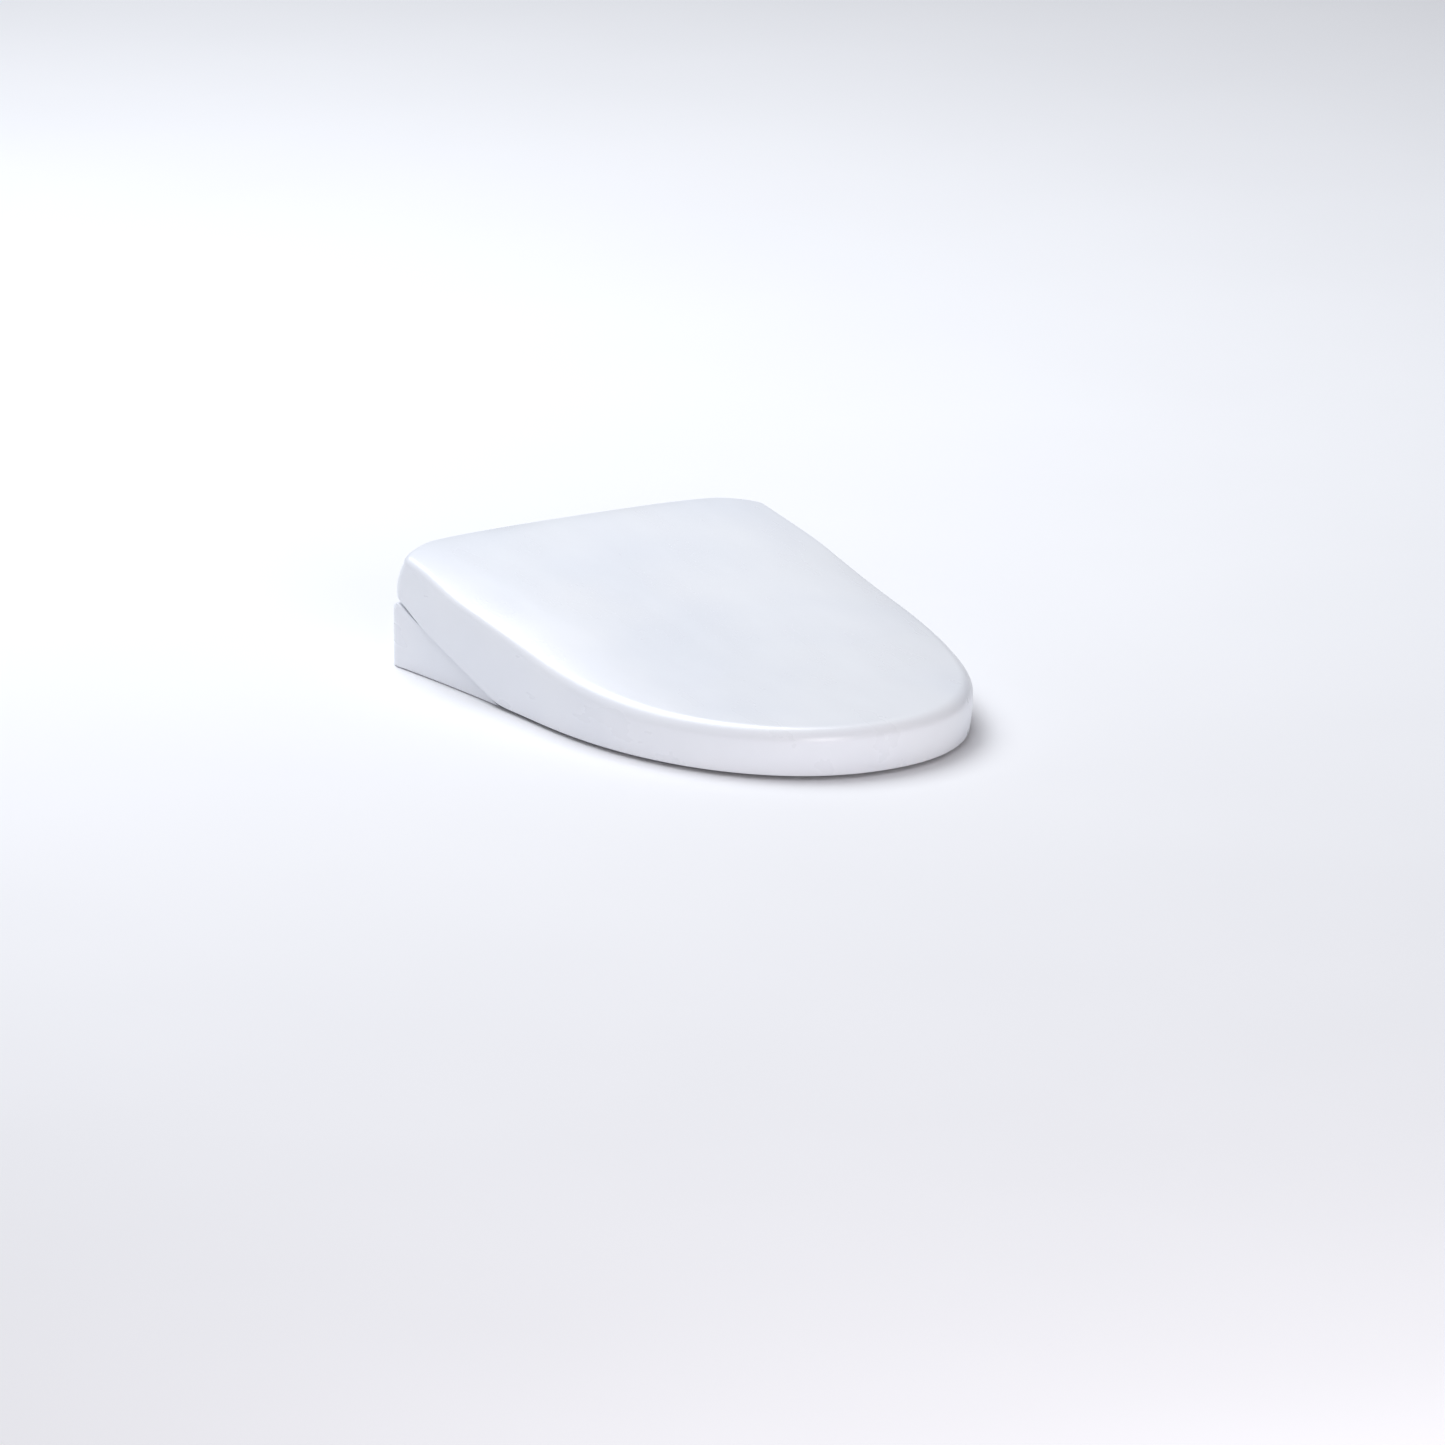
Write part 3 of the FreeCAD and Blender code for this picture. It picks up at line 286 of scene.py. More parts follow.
def surface(name: str, *grids: np.ndarray) -> bpy.types.Object:
    """One piece from grids of points, joined where their points coincide.

    Args:
        name: name of the new piece.
        grids: (rows, points, 3) grids; a face points outwards when the points
            run counter-clockwise seen from outside and the rows climb.

    Returns:
        The new piece, at the origin.
    """
    faces, start = [], 0
    for grid in grids:
        count = grid.shape[0] * grid.shape[1]
        faces += quads(start + np.arange(count).reshape(grid.shape[:2]))
        start += count
    mesh = bpy.data.meshes.new(name)
    mesh.from_pydata(np.vstack([grid.reshape(-1, 3) for grid in grids]).tolist(), [], faces)
    work = bmesh.new()
    work.from_mesh(mesh)
    bmesh.ops.remove_doubles(work, verts=work.verts, dist=0.002 * MM)
    for face in work.faces:
        face.smooth = True
    work.to_mesh(mesh)
    work.free()
    return placed(name, mesh)


def around(rows: np.ndarray) -> np.ndarray:
    """Rows of a closed strip with the first point repeated at the end."""
    return np.concatenate([rows, rows[:, :1]], axis=1)


def wall(piece: bpy.types.Object, thickness: float, rim: float = 0.0) -> None:
    """Give an open shell its wall, inwards, and optionally soften the rim.

    Args:
        piece: the open shell.
        thickness: wall in metres.
        rim: radius of the softened rim edges, 0 for none.
    """
    solid = piece.modifiers.new("wall", "SOLIDIFY")
    solid.thickness = thickness
    solid.offset = -1
    solid.use_even_offset = False
    if rim:
        bevel = piece.modifiers.new("rim", "BEVEL")
        bevel.width = rim
        bevel.segments = 2
        bevel.limit_method = "ANGLE"
        bevel.angle_limit = math.radians(50)


def softened_copy(node: str, radius: float) -> bpy.types.Object:
    """Copy of a working part with its moulded edges rounded.

    Args:
        node: name of the part.
        radius: edge radius in metres.

    Returns:
        The copy, which stands for the part.
    """
    source = frame["nodes"][node]
    mesh = source.data.copy()
    mesh.name = node + "_shell"
    piece = placed(node + "_shell", mesh)
    work = bmesh.new()
    work.from_mesh(mesh)
    bmesh.ops.remove_doubles(work, verts=work.verts, dist=0.01 * MM)
    bmesh.ops.dissolve_limit(work, angle_limit=math.radians(1.0), verts=work.verts, edges=work.edges)
    for face in work.faces:
        face.smooth = True
    work.to_mesh(mesh)
    work.free()
    if radius:
        soften(piece, radius)
    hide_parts(node)
    return piece


def soften(piece: bpy.types.Object, radius: float) -> None:
    """Round the sharp edges of a piece.

    Args:
        piece: the piece to round.
        radius: edge radius in metres.
    """
    bevel = piece.modifiers.new("edges", "BEVEL")
    bevel.width = radius
    bevel.segments = 3
    bevel.limit_method = "ANGLE"
    bevel.angle_limit = math.radians(35)
    bevel.use_clamp_overlap = True
    bevel.harden_normals = True


# ---- finishes
def linear(code: str) -> tuple[float, float, float, float]:
    """Colour given as sRGB hex, such as "e9eef6", in linear light."""
    parts = [int(code[k : k + 2], 16) / 255 for k in (0, 2, 4)]
    return tuple(p / 12.92 if p <= 0.04045 else ((p + 0.055) / 1.055) ** 2.4 for p in parts) + (1.0,)


def add(tree: bpy.types.NodeTree, kind: str, links: dict | None = None, **settings) -> bpy.types.Node:
    """Add a shader node with its settings and links.

    Args:
        tree: node tree of the material.
        kind: node type, without the "ShaderNode" prefix.
        links: input name or number to the output socket that feeds it.
        settings: socket values by name with spaces as "__", or node attributes.

    Returns:
        The node.
    """
    node = tree.nodes.new("ShaderNode" + kind)
    for name, value in settings.items():
        if hasattr(node, name):
            setattr(node, name, value)
        else:
            node.inputs[name.replace("__", " ")].default_value = value
    for name, socket in (links or {}).items():
        tree.links.new(socket, node.inputs[name])
    return node


def begin(name: str) -> tuple:
    """Start a node material.

    Args:
        name: what the material is and how it was made.

    Returns:
        The material, its node tree, its surface shader and the socket that
        gives the position in metres.
    """
    material = bpy.data.materials.new(name)
    material.use_nodes = True
    tree = material.node_tree
    return material, tree, tree.nodes["Principled BSDF"], add(tree, "TexCoord").outputs["Object"]


@dataclass(frozen=True)
class MouldedPlastic:
    """Injection-moulded plastic.

    The eye gets a soft, even body colour, a gloss that breaks up very slightly
    over the shallow ripple of the mould (orange peel), a trace of haze from
    wiping, and broad, faint changes of tint where the wall thickness changes.
    """

    name: str
    colour: str
    shade: str
    roughness: float = 0.2
    haze: float = 0.05
    ripple_mm: float = 9.0
    ripple_depth_mm: float = 0.012
    grain_mm: float = 0.0
    grain_depth_mm: float = 0.0
    ior: float = 1.53
    subsurface: float = 0.0
    coat: float = 0.0

    def make(self) -> bpy.types.Material:
        """Build the node material and return it."""
        material, tree, shader, place = begin(self.name)
        # tint drifts over about 120 mm, as the wall cools unevenly in the mould
        drift = add(tree, "TexNoise", {"Vector": place}, Scale=1 / (120 * MM), Detail=1.0, Roughness=0.4)
        tint = add(tree, "ValToRGB", {"Fac": drift.outputs["Fac"]})
        for stop, at, code in zip(tint.color_ramp.elements, (0.35, 0.65), (self.shade, self.colour)):
            stop.position, stop.color = at, linear(code)
        tree.links.new(tint.outputs["Color"], shader.inputs["Base Color"])
        # wiping haze in streaks about 30 mm long
        stretch = add(tree, "Mapping", {"Vector": place}, Scale=(1.0, 0.35, 1.0))
        wiped = add(tree, "TexNoise", {"Vector": stretch.outputs["Vector"]}, Scale=1 / (30 * MM), Detail=4.0)
        gloss = add(tree, "MapRange", {"Value": wiped.outputs["Fac"]}, From__Min=0.3, From__Max=0.7,
                    To__Min=max(self.roughness - self.haze, 0.03), To__Max=self.roughness + self.haze)
        tree.links.new(gloss.outputs["Result"], shader.inputs["Roughness"])
        ripple = add(tree, "TexNoise", {"Vector": place}, Scale=1 / (self.ripple_mm * MM), Detail=0.0)
        depth = self.ripple_depth_mm * MM
        bump = add(tree, "Bump", {"Height": ripple.outputs["Fac"]}, Strength=1.0, Distance=depth)
        if self.grain_mm:
            grain = add(tree, "TexNoise", {"Vector": place}, Scale=1 / (self.grain_mm * MM), Detail=2.0)
            bump = add(tree, "Bump", {"Height": grain.outputs["Fac"], "Normal": bump.outputs["Normal"]},
                       Strength=1.0, Distance=self.grain_depth_mm * MM)
        tree.links.new(bump.outputs["Normal"], shader.inputs["Normal"])
        shader.inputs["IOR"].default_value = self.ior
        shader.inputs["Subsurface Weight"].default_value = self.subsurface
        shader.inputs["Subsurface Radius"].default_value = (0.004, 0.004, 0.005)
        shader.inputs["Coat Weight"].default_value = self.coat
        return material


@dataclass(frozen=True)
class WorkedMetal:
    """Metal with the marks of how it was made.

    Fine parallel lines (turning, drawing or brushing) stretch the highlights
    across them; duller patches come from handling and oxide.
    """

    name: str
    colour: str
    shade: str
    roughness: float = 0.28
    line_mm: float = 0.5
    line_depth_mm: float = 0.01
    line_axis: str = "X"

    def make(self) -> bpy.types.Material:
        """Build the node material and return it."""
        material, tree, shader, place = begin(self.name)
        shader.inputs["Metallic"].default_value = 1.0
        patch = add(tree, "TexNoise", {"Vector": place}, Scale=1 / (14 * MM), Detail=5.0)
        tint = add(tree, "ValToRGB", {"Fac": patch.outputs["Fac"]})
        for stop, at, code in zip(tint.color_ramp.elements, (0.3, 0.7), (self.shade, self.colour)):
            stop.position, stop.color = at, linear(code)
        tree.links.new(tint.outputs["Color"], shader.inputs["Base Color"])
        gloss = add(tree, "MapRange", {"Value": patch.outputs["Fac"]}, To__Min=self.roughness * 1.4,
                    To__Max=self.roughness * 0.7)
        tree.links.new(gloss.outputs["Result"], shader.inputs["Roughness"])
        # one band of the wave is one tool mark; 20 bands fit in 2*pi units
        lines = add(tree, "TexWave", {"Vector": place}, Scale=0.314 / (self.line_mm * MM) / 2, Distortion=0.6)
        lines.bands_direction = self.line_axis
        depth = self.line_depth_mm * MM
        bump = add(tree, "Bump", {"Height": lines.outputs["Fac"]}, Strength=1.0, Distance=depth)
        tree.links.new(bump.outputs["Normal"], shader.inputs["Normal"])
        return material


@dataclass(frozen=True)
class CircuitLaminate:
    """Glass-epoxy board under green solder mask: tracks show as paler lines."""

    name: str = "fr4_solder_mask"
    mask: str = "1f5a37"
    track: str = "3d8a55"
    track_mm: float = 2.2

    def make(self) -> bpy.types.Material:
        """Build the node material and return it."""
        material, tree, shader, place = begin(self.name)
        tracks = add(tree, "TexBrick", {"Vector": place}, Scale=1.0, Color1=linear(self.mask),
                     Color2=linear(self.mask), Mortar=linear(self.track),
                     Brick__Width=3 * self.track_mm * MM, Row__Height=self.track_mm * MM,
                     Mortar__Size=0.25 * MM)
        tree.links.new(tracks.outputs["Color"], shader.inputs["Base Color"])
        bump = add(tree, "Bump", {"Height": tracks.outputs["Fac"]}, Strength=0.6, Distance=0.03 * MM)
        tree.links.new(bump.outputs["Normal"], shader.inputs["Normal"])
        shader.inputs["Roughness"].default_value = 0.32
        shader.inputs["IOR"].default_value = 1.55
        return material


@dataclass(frozen=True)
class WovenMesh:
    """Screen of woven wire or thread: dark openings between crossing strands."""

    name: str
    strand: str
    opening: str
    pitch_mm: float = 1.0
    metallic: float = 0.0

    def make(self) -> bpy.types.Material:
        """Build the node material and return it."""
        material, tree, shader, place = begin(self.name)
        scale = 0.314 / (self.pitch_mm * MM)
        across = add(tree, "TexWave", {"Vector": place}, Scale=scale, bands_direction="X")
        along = add(tree, "TexWave", {"Vector": place}, Scale=scale, bands_direction="Z")
        both = add(tree, "Math", {0: across.outputs["Fac"], 1: along.outputs["Fac"]}, operation="MAXIMUM")
        tint = add(tree, "ValToRGB", {"Fac": both.outputs["Value"]})
        for stop, at, code in zip(tint.color_ramp.elements, (0.45, 0.7), (self.opening, self.strand)):
            stop.position, stop.color = at, linear(code)
        tree.links.new(tint.outputs["Color"], shader.inputs["Base Color"])
        bump = add(tree, "Bump", {"Height": both.outputs["Value"]}, Strength=1.0, Distance=0.2 * MM)
        tree.links.new(bump.outputs["Normal"], shader.inputs["Normal"])
        shader.inputs["Metallic"].default_value = self.metallic
        shader.inputs["Roughness"].default_value = 0.4
        return material


@dataclass(frozen=True)
class ClearPlastic:
    """Tinted clear plastic (acrylic or polycarbonate), polished in the mould."""

    name: str
    colour: str
    roughness: float = 0.06
    clarity: float = 0.8

    def make(self) -> bpy.types.Material:
        """Build the node material and return it."""
        material, tree, shader, place = begin(self.name)
        cloud = add(tree, "TexNoise", {"Vector": place}, Scale=1 / (8 * MM), Detail=2.0)
        tint = add(tree, "ValToRGB", {"Fac": cloud.outputs["Fac"]})
        deep = linear(self.colour)
        tint.color_ramp.elements[0].color = tuple(0.85 * part for part in deep[:3]) + (1.0,)
        tint.color_ramp.elements[1].color = deep
        tree.links.new(tint.outputs["Color"], shader.inputs["Base Color"])
        shader.inputs["Roughness"].default_value = self.roughness
        shader.inputs["IOR"].default_value = 1.49
        shader.inputs["Transmission Weight"].default_value = self.clarity
        return material


class Finish(Enum):
    """Every finish on the seat, by what it is made of and how."""

    # gloss polypropylene, wiped daily: clean highlights, slightly blue white
    SHELL = MouldedPlastic("polypropylene_moulded_gloss", "f5f7fb", "f0f3f9", 0.3, 0.05)
    # the same resin in the seat ring, a touch softer where skin polishes it
    RING = MouldedPlastic("polypropylene_seat_satin_gloss", "f3f5fa", "eef1f7", 0.22, 0.05)
    # inside of the lid, not polished in the tool
    LINER = MouldedPlastic("polypropylene_moulded_satin", "eceff5", "e6eaf1", 0.34, 0.06, grain_mm=1.2,
                           grain_depth_mm=0.01)
    # base plate and hidden structure: filled resin, dull and faintly mottled
    PLATE = MouldedPlastic("polypropylene_glass_filled_grey", "b9bcc2", "aaadb4", 0.5, 0.08, grain_mm=0.9,
                           grain_depth_mm=0.03)
    # self-lubricating sleeves: waxy, a little see-through
    BUSH = MouldedPlastic("acetal_machined_white", "f1efe8", "e8e5dc", 0.35, 0.05, subsurface=0.2)
    # pads that rest on the bowl: rubbery, no sharp highlights
    PAD = MouldedPlastic("elastomer_moulded_grey", "9aa0a8", "8b9199", 0.62, 0.06, grain_mm=0.7,
                         grain_depth_mm=0.05, ior=1.45)
    # buffers under the lid: milky soft rubber
    BUFFER = MouldedPlastic("silicone_moulded_milky", "dfe3e8", "d3d8df", 0.5, 0.05, grain_mm=0.6,
                            grain_depth_mm=0.02, ior=1.43, subsurface=0.3)
    # wand: polished white resin, wet-looking
    WAND = MouldedPlastic("abs_moulded_high_gloss", "f6f7f9", "f1f3f6", 0.1, 0.03, coat=0.3)
    # keys: fine spark-eroded texture, a shade darker than the case
    KEY = MouldedPlastic("abs_moulded_fine_texture_grey", "c9ced6", "bfc5ce", 0.42, 0.05, grain_mm=0.5,
                         grain_depth_mm=0.03)
    # surround of the keys: silver paint over plastic, tiny flakes
    BEZEL = MouldedPlastic("abs_silver_painted", "c4c8ce", "b4b9c0", 0.3, 0.05, grain_mm=0.4,
                           grain_depth_mm=0.02, coat=0.6)
    # water tank: translucent heat-proof resin
    TANK = MouldedPlastic("polyphenylene_moulded_tank", "8f959c", "7f858d", 0.38, 0.06, grain_mm=1.5,
                          grain_depth_mm=0.03, subsurface=0.1)
    # air ducts and fan housings
    DUCT = MouldedPlastic("abs_moulded_mid_grey", "7d828a", "6f747c", 0.45, 0.06, grain_mm=0.8,
                          grain_depth_mm=0.03)
    # potted electronics: even black resin with a soft sheen
    MODULE = MouldedPlastic("epoxy_potted_black", "24262a", "1b1d20", 0.4, 0.08, grain_mm=1.0,
                            grain_depth_mm=0.04)
    # turned shafts and screws: rings that stretch the highlight along the axis
    SHAFT = WorkedMetal("stainless_steel_turned", "c9cbcf", "a9acb1", 0.25)
    # motor cans: drawn and plated, duller, with coarser marks
    CAN = WorkedMetal("zinc_plated_steel_drawn", "b9bcc0", "989ba0", 0.34, line_mm=0.8)
    # foils: rolled, with marks drawn coarser than real so that they show
    FOIL = WorkedMetal("aluminium_foil_rolled", "d9dade", "c2c4c9", 0.36, line_mm=2.4, line_depth_mm=0.05)
    # water inlet: warm metal under thin nickel, turned about Y
    BRASS = WorkedMetal("brass_turned_nickel_plated", "c8b98f", "a8996f", 0.26, line_mm=0.9, line_axis="Y")
    BOARD = CircuitLaminate()
    STRAINER = WovenMesh("stainless_wire_woven", "b8bbc0", "2b2d31", 1.0, 1.0)
    FILTER = WovenMesh("carbon_filter_pleated_mesh", "4a4d52", "17181a", 1.6)
    WINDOW = ClearPlastic("acrylic_smoked_polished", "33363c", 0.05, 0.55)
    LENS = ClearPlastic("polycarbonate_clear_polished", "dfe6ee", 0.04, 0.9)


# the finish of every working part
FINISH_OF: dict[Finish, tuple[str, ...]] = {
    Finish.SHELL: ("lower_case", "deck_cover", "side_panel_left", "side_panel_right", "rear_cover",
                   "lid_cover"),
    Finish.RING: ("seat_top", "seat_base", "seat_arm_left", "seat_arm_right"),
    Finish.LINER: ("lid_liner", "lid_hinge_ears"),
    Finish.PLATE: ("base_plate", "latch", "wand_guide", "flow_selector"),
    Finish.BUSH: ("seat_bushes", "lid_bushes", "drive_pinion", "wand_rack", "bolt_adjusters"),
    Finish.PAD: ("mount_pads", "seat_feet", "power_gland"),
    Finish.BUFFER: ("lid_buffers",),
    Finish.WAND: ("wand_tube", "wand_tip"),
    Finish.KEY: ("stop_button", "rear_wash_button", "power_button", "release_button"),
    Finish.BEZEL: ("control_bezel",),
    Finish.TANK: ("water_heater", "inlet_valve"),
    Finish.DUCT: ("dryer_duct", "dryer_housing", "deodorizer_housing", "dryer_wheel", "deodorizer_wheel",
                  "seat_damper", "lid_damper", "air_pump"),
    Finish.MODULE: ("power_module", "occupancy_sensor"),
    Finish.SHAFT: ("hinge_shafts", "pinion_shaft", "case_screws", "release_spring"),
    Finish.CAN: ("wand_motor", "dryer_motor", "deodorizer_motor"),
    Finish.FOIL: ("seat_heater", "dryer_element"),
    Finish.BRASS: ("water_inlet",),
    Finish.BOARD: ("control_board", "button_board"),
    Finish.STRAINER: ("inlet_strainer",),
    Finish.FILTER: ("deodorizer_filter",),
    Finish.WINDOW: ("sensor_window",),
    Finish.LENS: ("signal_lens",),
}


@dataclass
class Dresser:
    """Makes each finish once and puts it on pieces."""

    made: dict[Finish, bpy.types.Material] = field(default_factory=dict)

    def material(self, finish: Finish) -> bpy.types.Material:
        """The material of a finish, made the first time it is asked for."""
        if finish not in self.made:
            self.made[finish] = finish.value.make()
        return self.made[finish]

    def dress(self, piece: bpy.types.Object, finish: Finish) -> None:
        """Put one finish on the whole of a piece."""
        piece.data.materials.clear()
        piece.data.materials.append(self.material(finish))

    def dress_working_parts(self) -> None:
        """Put its finish on every working part of the assembly."""
        for finish, names in FINISH_OF.items():
            for name in names:
                self.dress(frame["nodes"][name], finish)
        bare = sorted(set(frame["nodes"]) - {name for names in FINISH_OF.values() for name in names})
        if bare:
            raise ValueError(f"no finish for {bare}")
        log.info("finishes on %d working parts", len(frame["nodes"]))


# ---- lid
@dataclass
class Lid:
    """Closed lid: one moulded cover, its inner panel and its hinge ears.

    The top is a height over the plan: z(x, y) = centre(y) - drop(y) * u^p, where
    u runs from 0 on the centre line to 1 on the outline. A quarter round of
    radius r joins it to the skirt, z = top - r + sqrt(r^2 - (r - d)^2) at a
    distance d inside the skirt.
    """

    dresser: Dresser
    wall: float = 3.0 * MM
    lower_edge: float = 3.0 * MM
    slope_start: float = -129 * MM
    corner_edge: float = 69 * MM
    tail_edge: float = 81 * MM
    tail_half: float = 156 * MM
    flatness: float = 4.0
    across: int = 140
    along: int = 170
    liner_inset: float = 16 * MM
    liner_rear: float = 14 * MM
    liner_half: float = 150 * MM
    normal_passes: int = 30
    foot_lean: float = 7 * MM
    top_lean: float = 13 * MM
    centre_y: tuple[float, ...] = (-490, -430, -350, -250, -150, -50, 10, 40, 66)
    centre_z: tuple[float, ...] = (46.5, 49, 52.5, 62, 77, 92, 100.5, 102, 99)
    edge_y: tuple[float, ...] = (-475, -440, -400, -340, -290, -240, -190, -130, -80, -30, 20, 60)
    edge_z: tuple[float, ...] = (43, 42.5, 42.5, 43.3, 46.5, 52, 59, 68.5, 77, 85, 92, 96)

    def reach(self, x: np.ndarray, y: np.ndarray) -> np.ndarray:
        """Share of the way from the centre line to the outline.

        Args:
            x: positions across.
            y: positions along, of the same shape.

        Returns:
            0 on the centre line, 1 on the outline, a little more outside it.
        """
        ahead = np.clip((OUTLINE.middle - y) / (OUTLINE.middle - OUTLINE.front), 0, 1.2)
        side = np.abs(x) / OUTLINE.middle_half
        front = (side**OUTLINE.power + ahead**OUTLINE.power) ** (1 / OUTLINE.power)
        behind = np.abs(x) / OUTLINE.half_width(np.maximum(y, OUTLINE.middle))
        return np.where(y < OUTLINE.middle, front, behind)

    def top(self, x: np.ndarray, y: np.ndarray) -> np.ndarray:
        """Height of the crowned top.

        Args:
            x: positions across.
            y: positions along, of the same shape.

        Returns:
            Heights: centre - (centre - edge) * reach^p.
        """
        centre = natural_spline(np.array(self.centre_y), np.array(self.centre_z), y / MM) * MM
        edge = natural_spline(np.array(self.edge_y), np.array(self.edge_z), y / MM) * MM
        return centre - (centre - edge) * np.clip(self.reach(x, y), 0, 1.05) ** self.flatness

    def low(self, loop: np.ndarray) -> np.ndarray:
        """Height of the lower edge.

        It is level in front, climbs straight with a soft start along the sides,
        and has a raised tail between the hinges.

        Args:
            loop: (n, 2) outline.

        Returns:
            (n,) heights.
        """
        rise = (self.corner_edge - self.lower_edge) / (OUTLINE.corner - self.slope_start)
        soft = 7 * MM
        climb = rise * soft * np.logaddexp(0, (loop[:, 1] - self.slope_start) / soft)
        low = np.minimum(self.lower_edge + climb, self.corner_edge)
        tail = smooth(-np.abs(loop[:, 0]), -self.tail_half - 3 * MM, -self.tail_half) * (loop[:, 1] > 0)
        return low + (self.tail_edge - low) * tail

    def rounding(self, loop: np.ndarray) -> np.ndarray:
        """Radius of the top edge.

        Args:
            loop: (n, 2) outline.

        Returns:
            (n,) radii: 11 mm in front, 6 mm along the sides, 8 mm at the rear.
        """
        ahead = smooth(-loop[:, 1], 90 * MM, 330 * MM)
        behind = smooth(loop[:, 1], 20 * MM, 50 * MM)
        return (6 + 5 * ahead + 2 * behind) * MM

    def lean(self, loop: np.ndarray) -> tuple[np.ndarray, np.ndarray]:
        """How far the skirt is drawn in, which is most at the rear corners.

        Args:
            loop: (n, 2) outline.

        Returns:
            (n,) distances at the skirt's foot, and at its top.
        """
        side = np.abs(loop[:, 0])
        foot = self.foot_lean * smooth(loop[:, 1], -30 * MM, 38 * MM) * smooth(side, 120 * MM, 185 * MM)
        return foot, self.top_lean * smooth(loop[:, 1], -80 * MM, 45 * MM) * smooth(side, 135 * MM, 180 * MM)

    def skin(self) -> tuple[np.ndarray, np.ndarray]:
        """Outer skin of the cover.

        Returns:
            Grid of the strip from the lower edge up and over, and grid of the crown.
        """
        loop = OUTLINE.loop(self.across, self.along)
        normal = inward(loop, self.normal_passes)
        low, radius = self.low(loop), self.rounding(loop)
        foot, lean = self.lean(loop)
        tuck = 2.5 * MM * smooth(-loop[:, 1], 60 * MM, 250 * MM)
        bent = loop + normal * lean[:, None]
        shoulder = np.maximum(self.top(bent[:, 0], bent[:, 1]) - radius, low + 0.5 * MM)
        share = np.linspace(0, 1, 14)[:, None]
        offset = foot + (lean - foot) * share**2 + tuck * (1 - share) ** 2
        plan = loop[None] + normal[None] * offset[..., None]
        skirt = np.dstack([plan, low + (shoulder - low) * share])
        angle = np.linspace(0, math.pi / 2, 11)[1:, None]
        offset = lean + radius * (1 - np.cos(angle))
        plan = loop[None] + normal[None] * offset[..., None]
        crest = self.top(plan[..., 0], plan[..., 1])
        start = self.top(bent[:, 0], bent[:, 1]) - radius
        rise = crest - radius * (1 - np.sin(angle)) - start
        height = shoulder + rise * (crest - shoulder) / (crest - start)
        crown = coons(plan[-1], self.across, self.along)
        crown = np.dstack([crown, self.top(crown[..., 0], crown[..., 1])])
        return around(np.concatenate([skirt, np.dstack([plan, height])])), crown

    def build(self) -> None:
        """Make the cover, its liner and its ears, and put them on the lid."""
        cover = surface("lid_cover_shell", *self.skin())
        wall(cover, self.wall, 0.6 * MM)
        self.dresser.dress(cover, Finish.SHELL)
        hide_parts("lid_cover")
        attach(cover, "lid")
        log.info("lid cover, %d points", len(cover.data.vertices))
        self.build_liner()
        self.build_ears()

    def under(self, x: np.ndarray, y: np.ndarray) -> np.ndarray:
        """Height of the cover's inner skin."""
        return self.top(x, y) - self.wall

    def build_liner(self) -> None:
        """Inner panel: follows the cover 0.6 mm below it, with a shallow field.

        The field sinks by a smooth step over 14 mm inside the panel's border.
        """
        ring = OUTLINE.loop(self.across, self.along)
        ring = ring + inward(ring) * self.liner_inset
        ring[:, 1] = np.minimum(ring[:, 1], self.liner_rear)
        ring[:, 0] = np.clip(ring[:, 0], -self.liner_half, self.liner_half)
        plan = coons(ring, self.across, self.along)
        u = np.abs(np.linspace(-1, 1, self.across + 1))[None, :]
        v = np.abs(np.linspace(-1, 1, self.along + 1))[:, None]
        edge = np.minimum((1 - u) * self.liner_half, (1 - v) * 0.22)
        field_depth = 1.6 * MM * smooth(edge, 8 * MM, 22 * MM)
        height = self.under(plan[..., 0], plan[..., 1]) - 0.6 * MM - field_depth
        panel = surface("lid_liner_panel", np.dstack([plan, height]))
        wall(panel, 2.0 * MM, 0.7 * MM)
        self.dresser.dress(panel, Finish.LINER)
        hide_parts("lid_liner")
        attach(panel, "lid")
        log.info("lid liner, %d points", len(panel.data.vertices))

    def keep_inside(self, points: np.ndarray) -> np.ndarray:
        """Points pushed back under the cover's inner skin, where they stick out.

        Args:
            points: (n, 3) points near the cover.

        Returns:
            The same points: moved in from the skirt, and down from the rounded
            edge, whose inner surface is top - wall - r + sqrt(r^2 - (r - d)^2).
        """
        loop = OUTLINE.loop(self.across, self.along)
        normal = inward(loop, self.normal_passes)
        low, (foot, lean) = self.low(loop), self.lean(loop)
        bent = loop + normal * lean[:, None]
        shoulder = self.top(bent[:, 0], bent[:, 1]) - self.rounding(loop)
        gap = points[:, None, :2] - loop[None]
        near = np.argmin((gap**2).sum(axis=2), axis=1)
        depth = (gap[np.arange(len(points)), near] * normal[near]).sum(axis=1)
        share = np.clip((points[:, 2] - low[near]) / (shoulder - low)[near], 0, 1)
        skin = self.wall + 0.8 * MM
        need = foot[near] + (lean - foot)[near] * share**2 + skin
        points[:, :2] += normal[near] * np.maximum(need - depth, 0)[:, None]
        inside = np.clip(np.maximum(depth, need) - lean[near] - skin, 0, None)
        radius = np.maximum(self.rounding(loop)[near] - self.wall, 1 * MM)
        drop = radius - np.sqrt(radius**2 - np.clip(radius - inside, 0, None) ** 2)
        points[:, 2] = np.minimum(points[:, 2], self.top(points[:, 0], points[:, 1]) - skin - drop)
        return points

    def build_ears(self) -> None:
        """Hinge ears, kept inside the cover's rounded rear corners."""
        ears = softened_copy("lid_hinge_ears", 0.0)
        count = len(ears.data.vertices)
        flat = np.empty(count * 3)
        ears.data.vertices.foreach_get("co", flat)
        flat = self.keep_inside(flat.reshape(-1, 3)).ravel()
        ears.data.vertices.foreach_set("co", flat)
        ears.data.update()
        self.dresser.dress(ears, Finish.LINER)
        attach(ears, "lid")
        log.info("lid ears, %d points", count)


